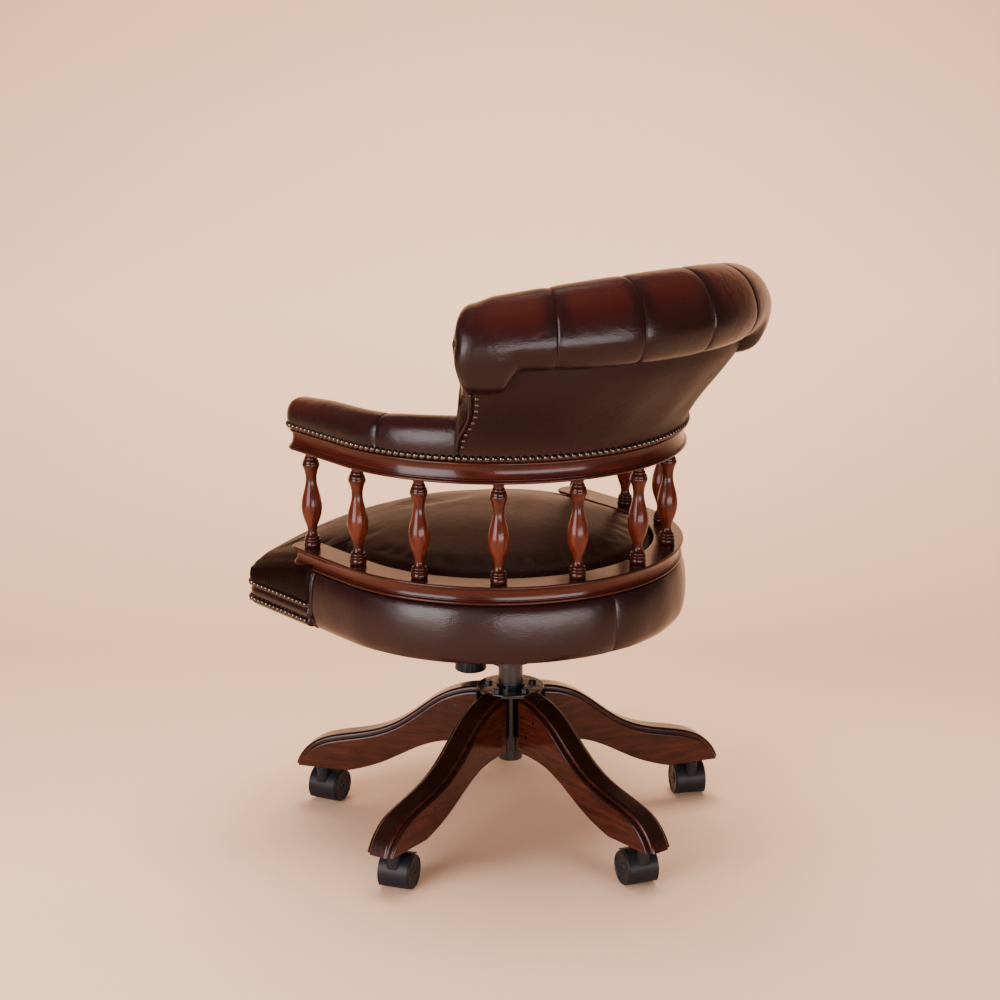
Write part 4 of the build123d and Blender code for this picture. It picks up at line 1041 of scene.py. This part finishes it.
def make_apron():
    """Padded border under the lower rail, its bottom edge rolled under."""
    quarter = RING * math.pi / 2
    end = quarter + RING_Y - SIDE_SEAM
    section = curve_through(APRON_SECTION, 52) * MM
    walks = np.linspace(-end, end, 190)
    tight = np.array([0, 0.0015, 0.004])
    walks = np.concatenate([tight - end, walks[2:-2], end - tight[::-1]])
    close = BACK_JOIN + np.array([-0.0045, -0.002, -0.0008, 0, 0.0008, 0.002, 0.0045])
    walks = np.sort(np.concatenate([walks[np.abs(walks - BACK_JOIN) > 0.006], close]))
    loops = []
    for walk in walks:
        from_seam = (end - abs(walk)) / MM
        pull = 0.0035 * math.exp(-from_seam / 5)
        pull += 0.0016 * math.exp(-abs(walk - BACK_JOIN) / 0.0018)
        pull += 0.0012 * math.exp(-((walk - BACK_JOIN) / 0.012) ** 2)
        ripple = 0.0004 * math.sin(walk * 46) + 0.0003 * math.sin(walk * 97 + 1)
        inset = (pull + ripple) * smoothstep(0.004, 0.02, section[:, 0])
        loops.append([ring_point(walk, out, z) for out, z in zip(section[:, 0] - inset, section[:, 1])])
    apron = loft("apron_leather", np.array(loops))
    paint(apron, 0.22 + 0.15 * smoothstep(0.36, 0.34, coordinates(apron)[:, 2]))
    subdivide(apron)
    cover(apron, HIDE_SEAT)
    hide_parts("seat_apron")

    make_seam_piping(section, end)


def make_seam_piping(section, end):
    """A pair of pipings down each side seam, between the apron and the seat's front."""
    outer = np.array([p for p in section if p[0] > 0.012])
    outer = outer[np.argsort(-outer[:, 1])]
    for name, sign in (("left", 1), ("right", -1)):
        for number, shift in enumerate((-0.0022, 0.0022), start=1):
            path = [ring_point(sign * (end + shift), out - 0.0022, z) for out, z in outer]
            cover(tube(f"seam_piping_{name}_{number}", path, 0.0021), HIDE_SEAT, 0.3)


# ---------------- tilt spring

SPRING_WIRE = 0.002
SPRING_PITCH = 0.0062


def make_spring():
    """Coil round the tension bolt, carried rigidly with the mechanism. On the real chair it shortens against
    its lug as the seat tilts back and lifts the knob.
    """
    low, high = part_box("tilt_spring")
    middle = (low + high) / 2
    radius = (high.x - low.x) / 2 - SPRING_WIRE
    rise = high.z - low.z - 2 * SPRING_WIRE
    turns = np.linspace(0, 2 * math.pi * rise / SPRING_PITCH, 150)
    path = np.column_stack([radius * np.cos(turns), middle.y + radius * np.sin(turns),
                            low.z + SPRING_WIRE + rise * np.linspace(0, 1, len(turns))])
    coil = tube("tilt_spring_coil", path, SPRING_WIRE, 12)
    dress(coil, metal("spring_steel", (0.42, 0.42, 0.43), (0.22, 0.38)))
    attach(coil, "mechanism")
    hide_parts("tilt_spring")
    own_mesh(coil)


# ---------------- stage, light and camera


def make_stage():
    """Seamless pale sweep: floor, curve and wall behind the chair as the camera sees it."""
    ahead = Vector((-0.6086, -0.7504, 0)).normalized()
    across = Vector((-ahead.y, ahead.x, 0))
    start, curve, top = 0.75, 1.7, 2.6
    line = [(-14.0, 0.0), (-3, 0.0), (0, 0.0), (start, 0.0)]
    for turn in np.radians(np.linspace(4, 90, 24)):
        line.append((start + curve * math.sin(turn), curve * (1 - math.cos(turn))))
    line.append((start + curve, top))
    columns = []
    for side in np.linspace(-14, 14, 9):
        columns.append([tuple(ahead * d + across * side + Vector((0, 0, z))) for d, z in line])
    shape = np.array(columns)
    sweep = tidy_mesh(make_object("studio_sweep", shape.reshape(-1, 3), grid_faces(*shape.shape[:2])))
    paper = Shader("studio_paper", Roughness=0.8, Specular_IOR_Level=0.2)
    cloud = paper.noise(paper.place(), 0.8, 2)
    where = paper.place()
    along = paper.node("ShaderNodeVectorMath", operation="DOT_PRODUCT")
    paper.join(where, along.inputs[0])
    along.inputs[1].default_value = ahead
    depth = paper.level(along.outputs["Value"], -1.0, start + curve)
    # painted shade on the paper, by depth away from the camera: none on the near floor, a darker band behind
    # the chair, lighter on the curve, and the full darker paper tone up the wall
    shade = paper.grey_ramp(depth, [(0.0, 0.0), (0.22, 0.0), (0.40, 0.35), (0.53, 0.62), (0.70, 0.30),
                                    (0.84, 0.05), (0.93, 0.45), (1.0, 1.0)])
    paler = paper.mix(cloud, (0.715, 0.47, 0.315), (0.735, 0.49, 0.33))
    paper.colour(paper.mix(shade, paler, (0.47, 0.295, 0.19)))
    paper.bump(paper.noise(paper.place(), 40, 2), 0.0004)
    dress(sweep, paper.material)


def area_light(name, place, target, size, power, colour=(1, 1, 1)):
    data = bpy.data.lights.new(name, "AREA")
    data.shape = "RECTANGLE"
    data.size, data.size_y = size
    data.energy = power
    data.color = colour
    lamp = bpy.data.objects.new(name, data)
    lamp.location = place
    lamp.rotation_euler = (Vector(target) - Vector(place)).to_track_quat("-Z", "Y").to_euler()
    bpy.context.scene.collection.objects.link(lamp)
    return lamp


def make_light():
    world = bpy.data.worlds.new("studio")
    world.use_nodes = True
    world.node_tree.nodes["Background"].inputs["Color"].default_value = (1.0, 0.93, 0.88, 1)
    world.node_tree.nodes["Background"].inputs["Strength"].default_value = 0.2
    bpy.context.scene.world = world
    overhead = area_light("overhead", (-0.1, -0.1, 3.1), (0, 0, 0), (2.4, 2.4), 240, (1, 0.86, 0.76))
    overhead.visible_glossy = False
    area_light("left_bank", (3.1, 0.5, 1.0), (0, 0, 0.6), (2.0, 1.8), 165, (1, 0.90, 0.92))
    area_light("front_bank", (0.8, 3.3, 0.45), (0, 0, 0.62), (3.4, 0.8), 130, (1, 0.88, 0.90))
    area_light("wall_glow", (-0.7, -0.8, 2.7), (-1.75, -2.15, 1.25), (0.9, 0.6), 50, (1, 0.84, 0.72))


def make_camera():
    data = bpy.data.cameras.new("camera")
    data.lens = 84.38
    data.sensor_width = 36
    camera = bpy.data.objects.new("camera", data)
    camera.location = (2.077, 2.5361, 1.376)
    camera.rotation_euler = Vector((-0.6086, -0.7504, -0.2578)).to_track_quat("-Z", "Y").to_euler()
    bpy.context.scene.collection.objects.link(camera)
    bpy.context.scene.camera = camera


make_camera()
make_light()
make_stage()
dress_cad()
make_seat_top()
make_seat_border()
make_apron()
make_arm_pad("arm_leather_left", 1, "arm_pad_left")
make_arm_pad("arm_leather_right", -1, "arm_pad_right")
make_outside_back()
make_roll()
make_facing_trim()
make_spring()
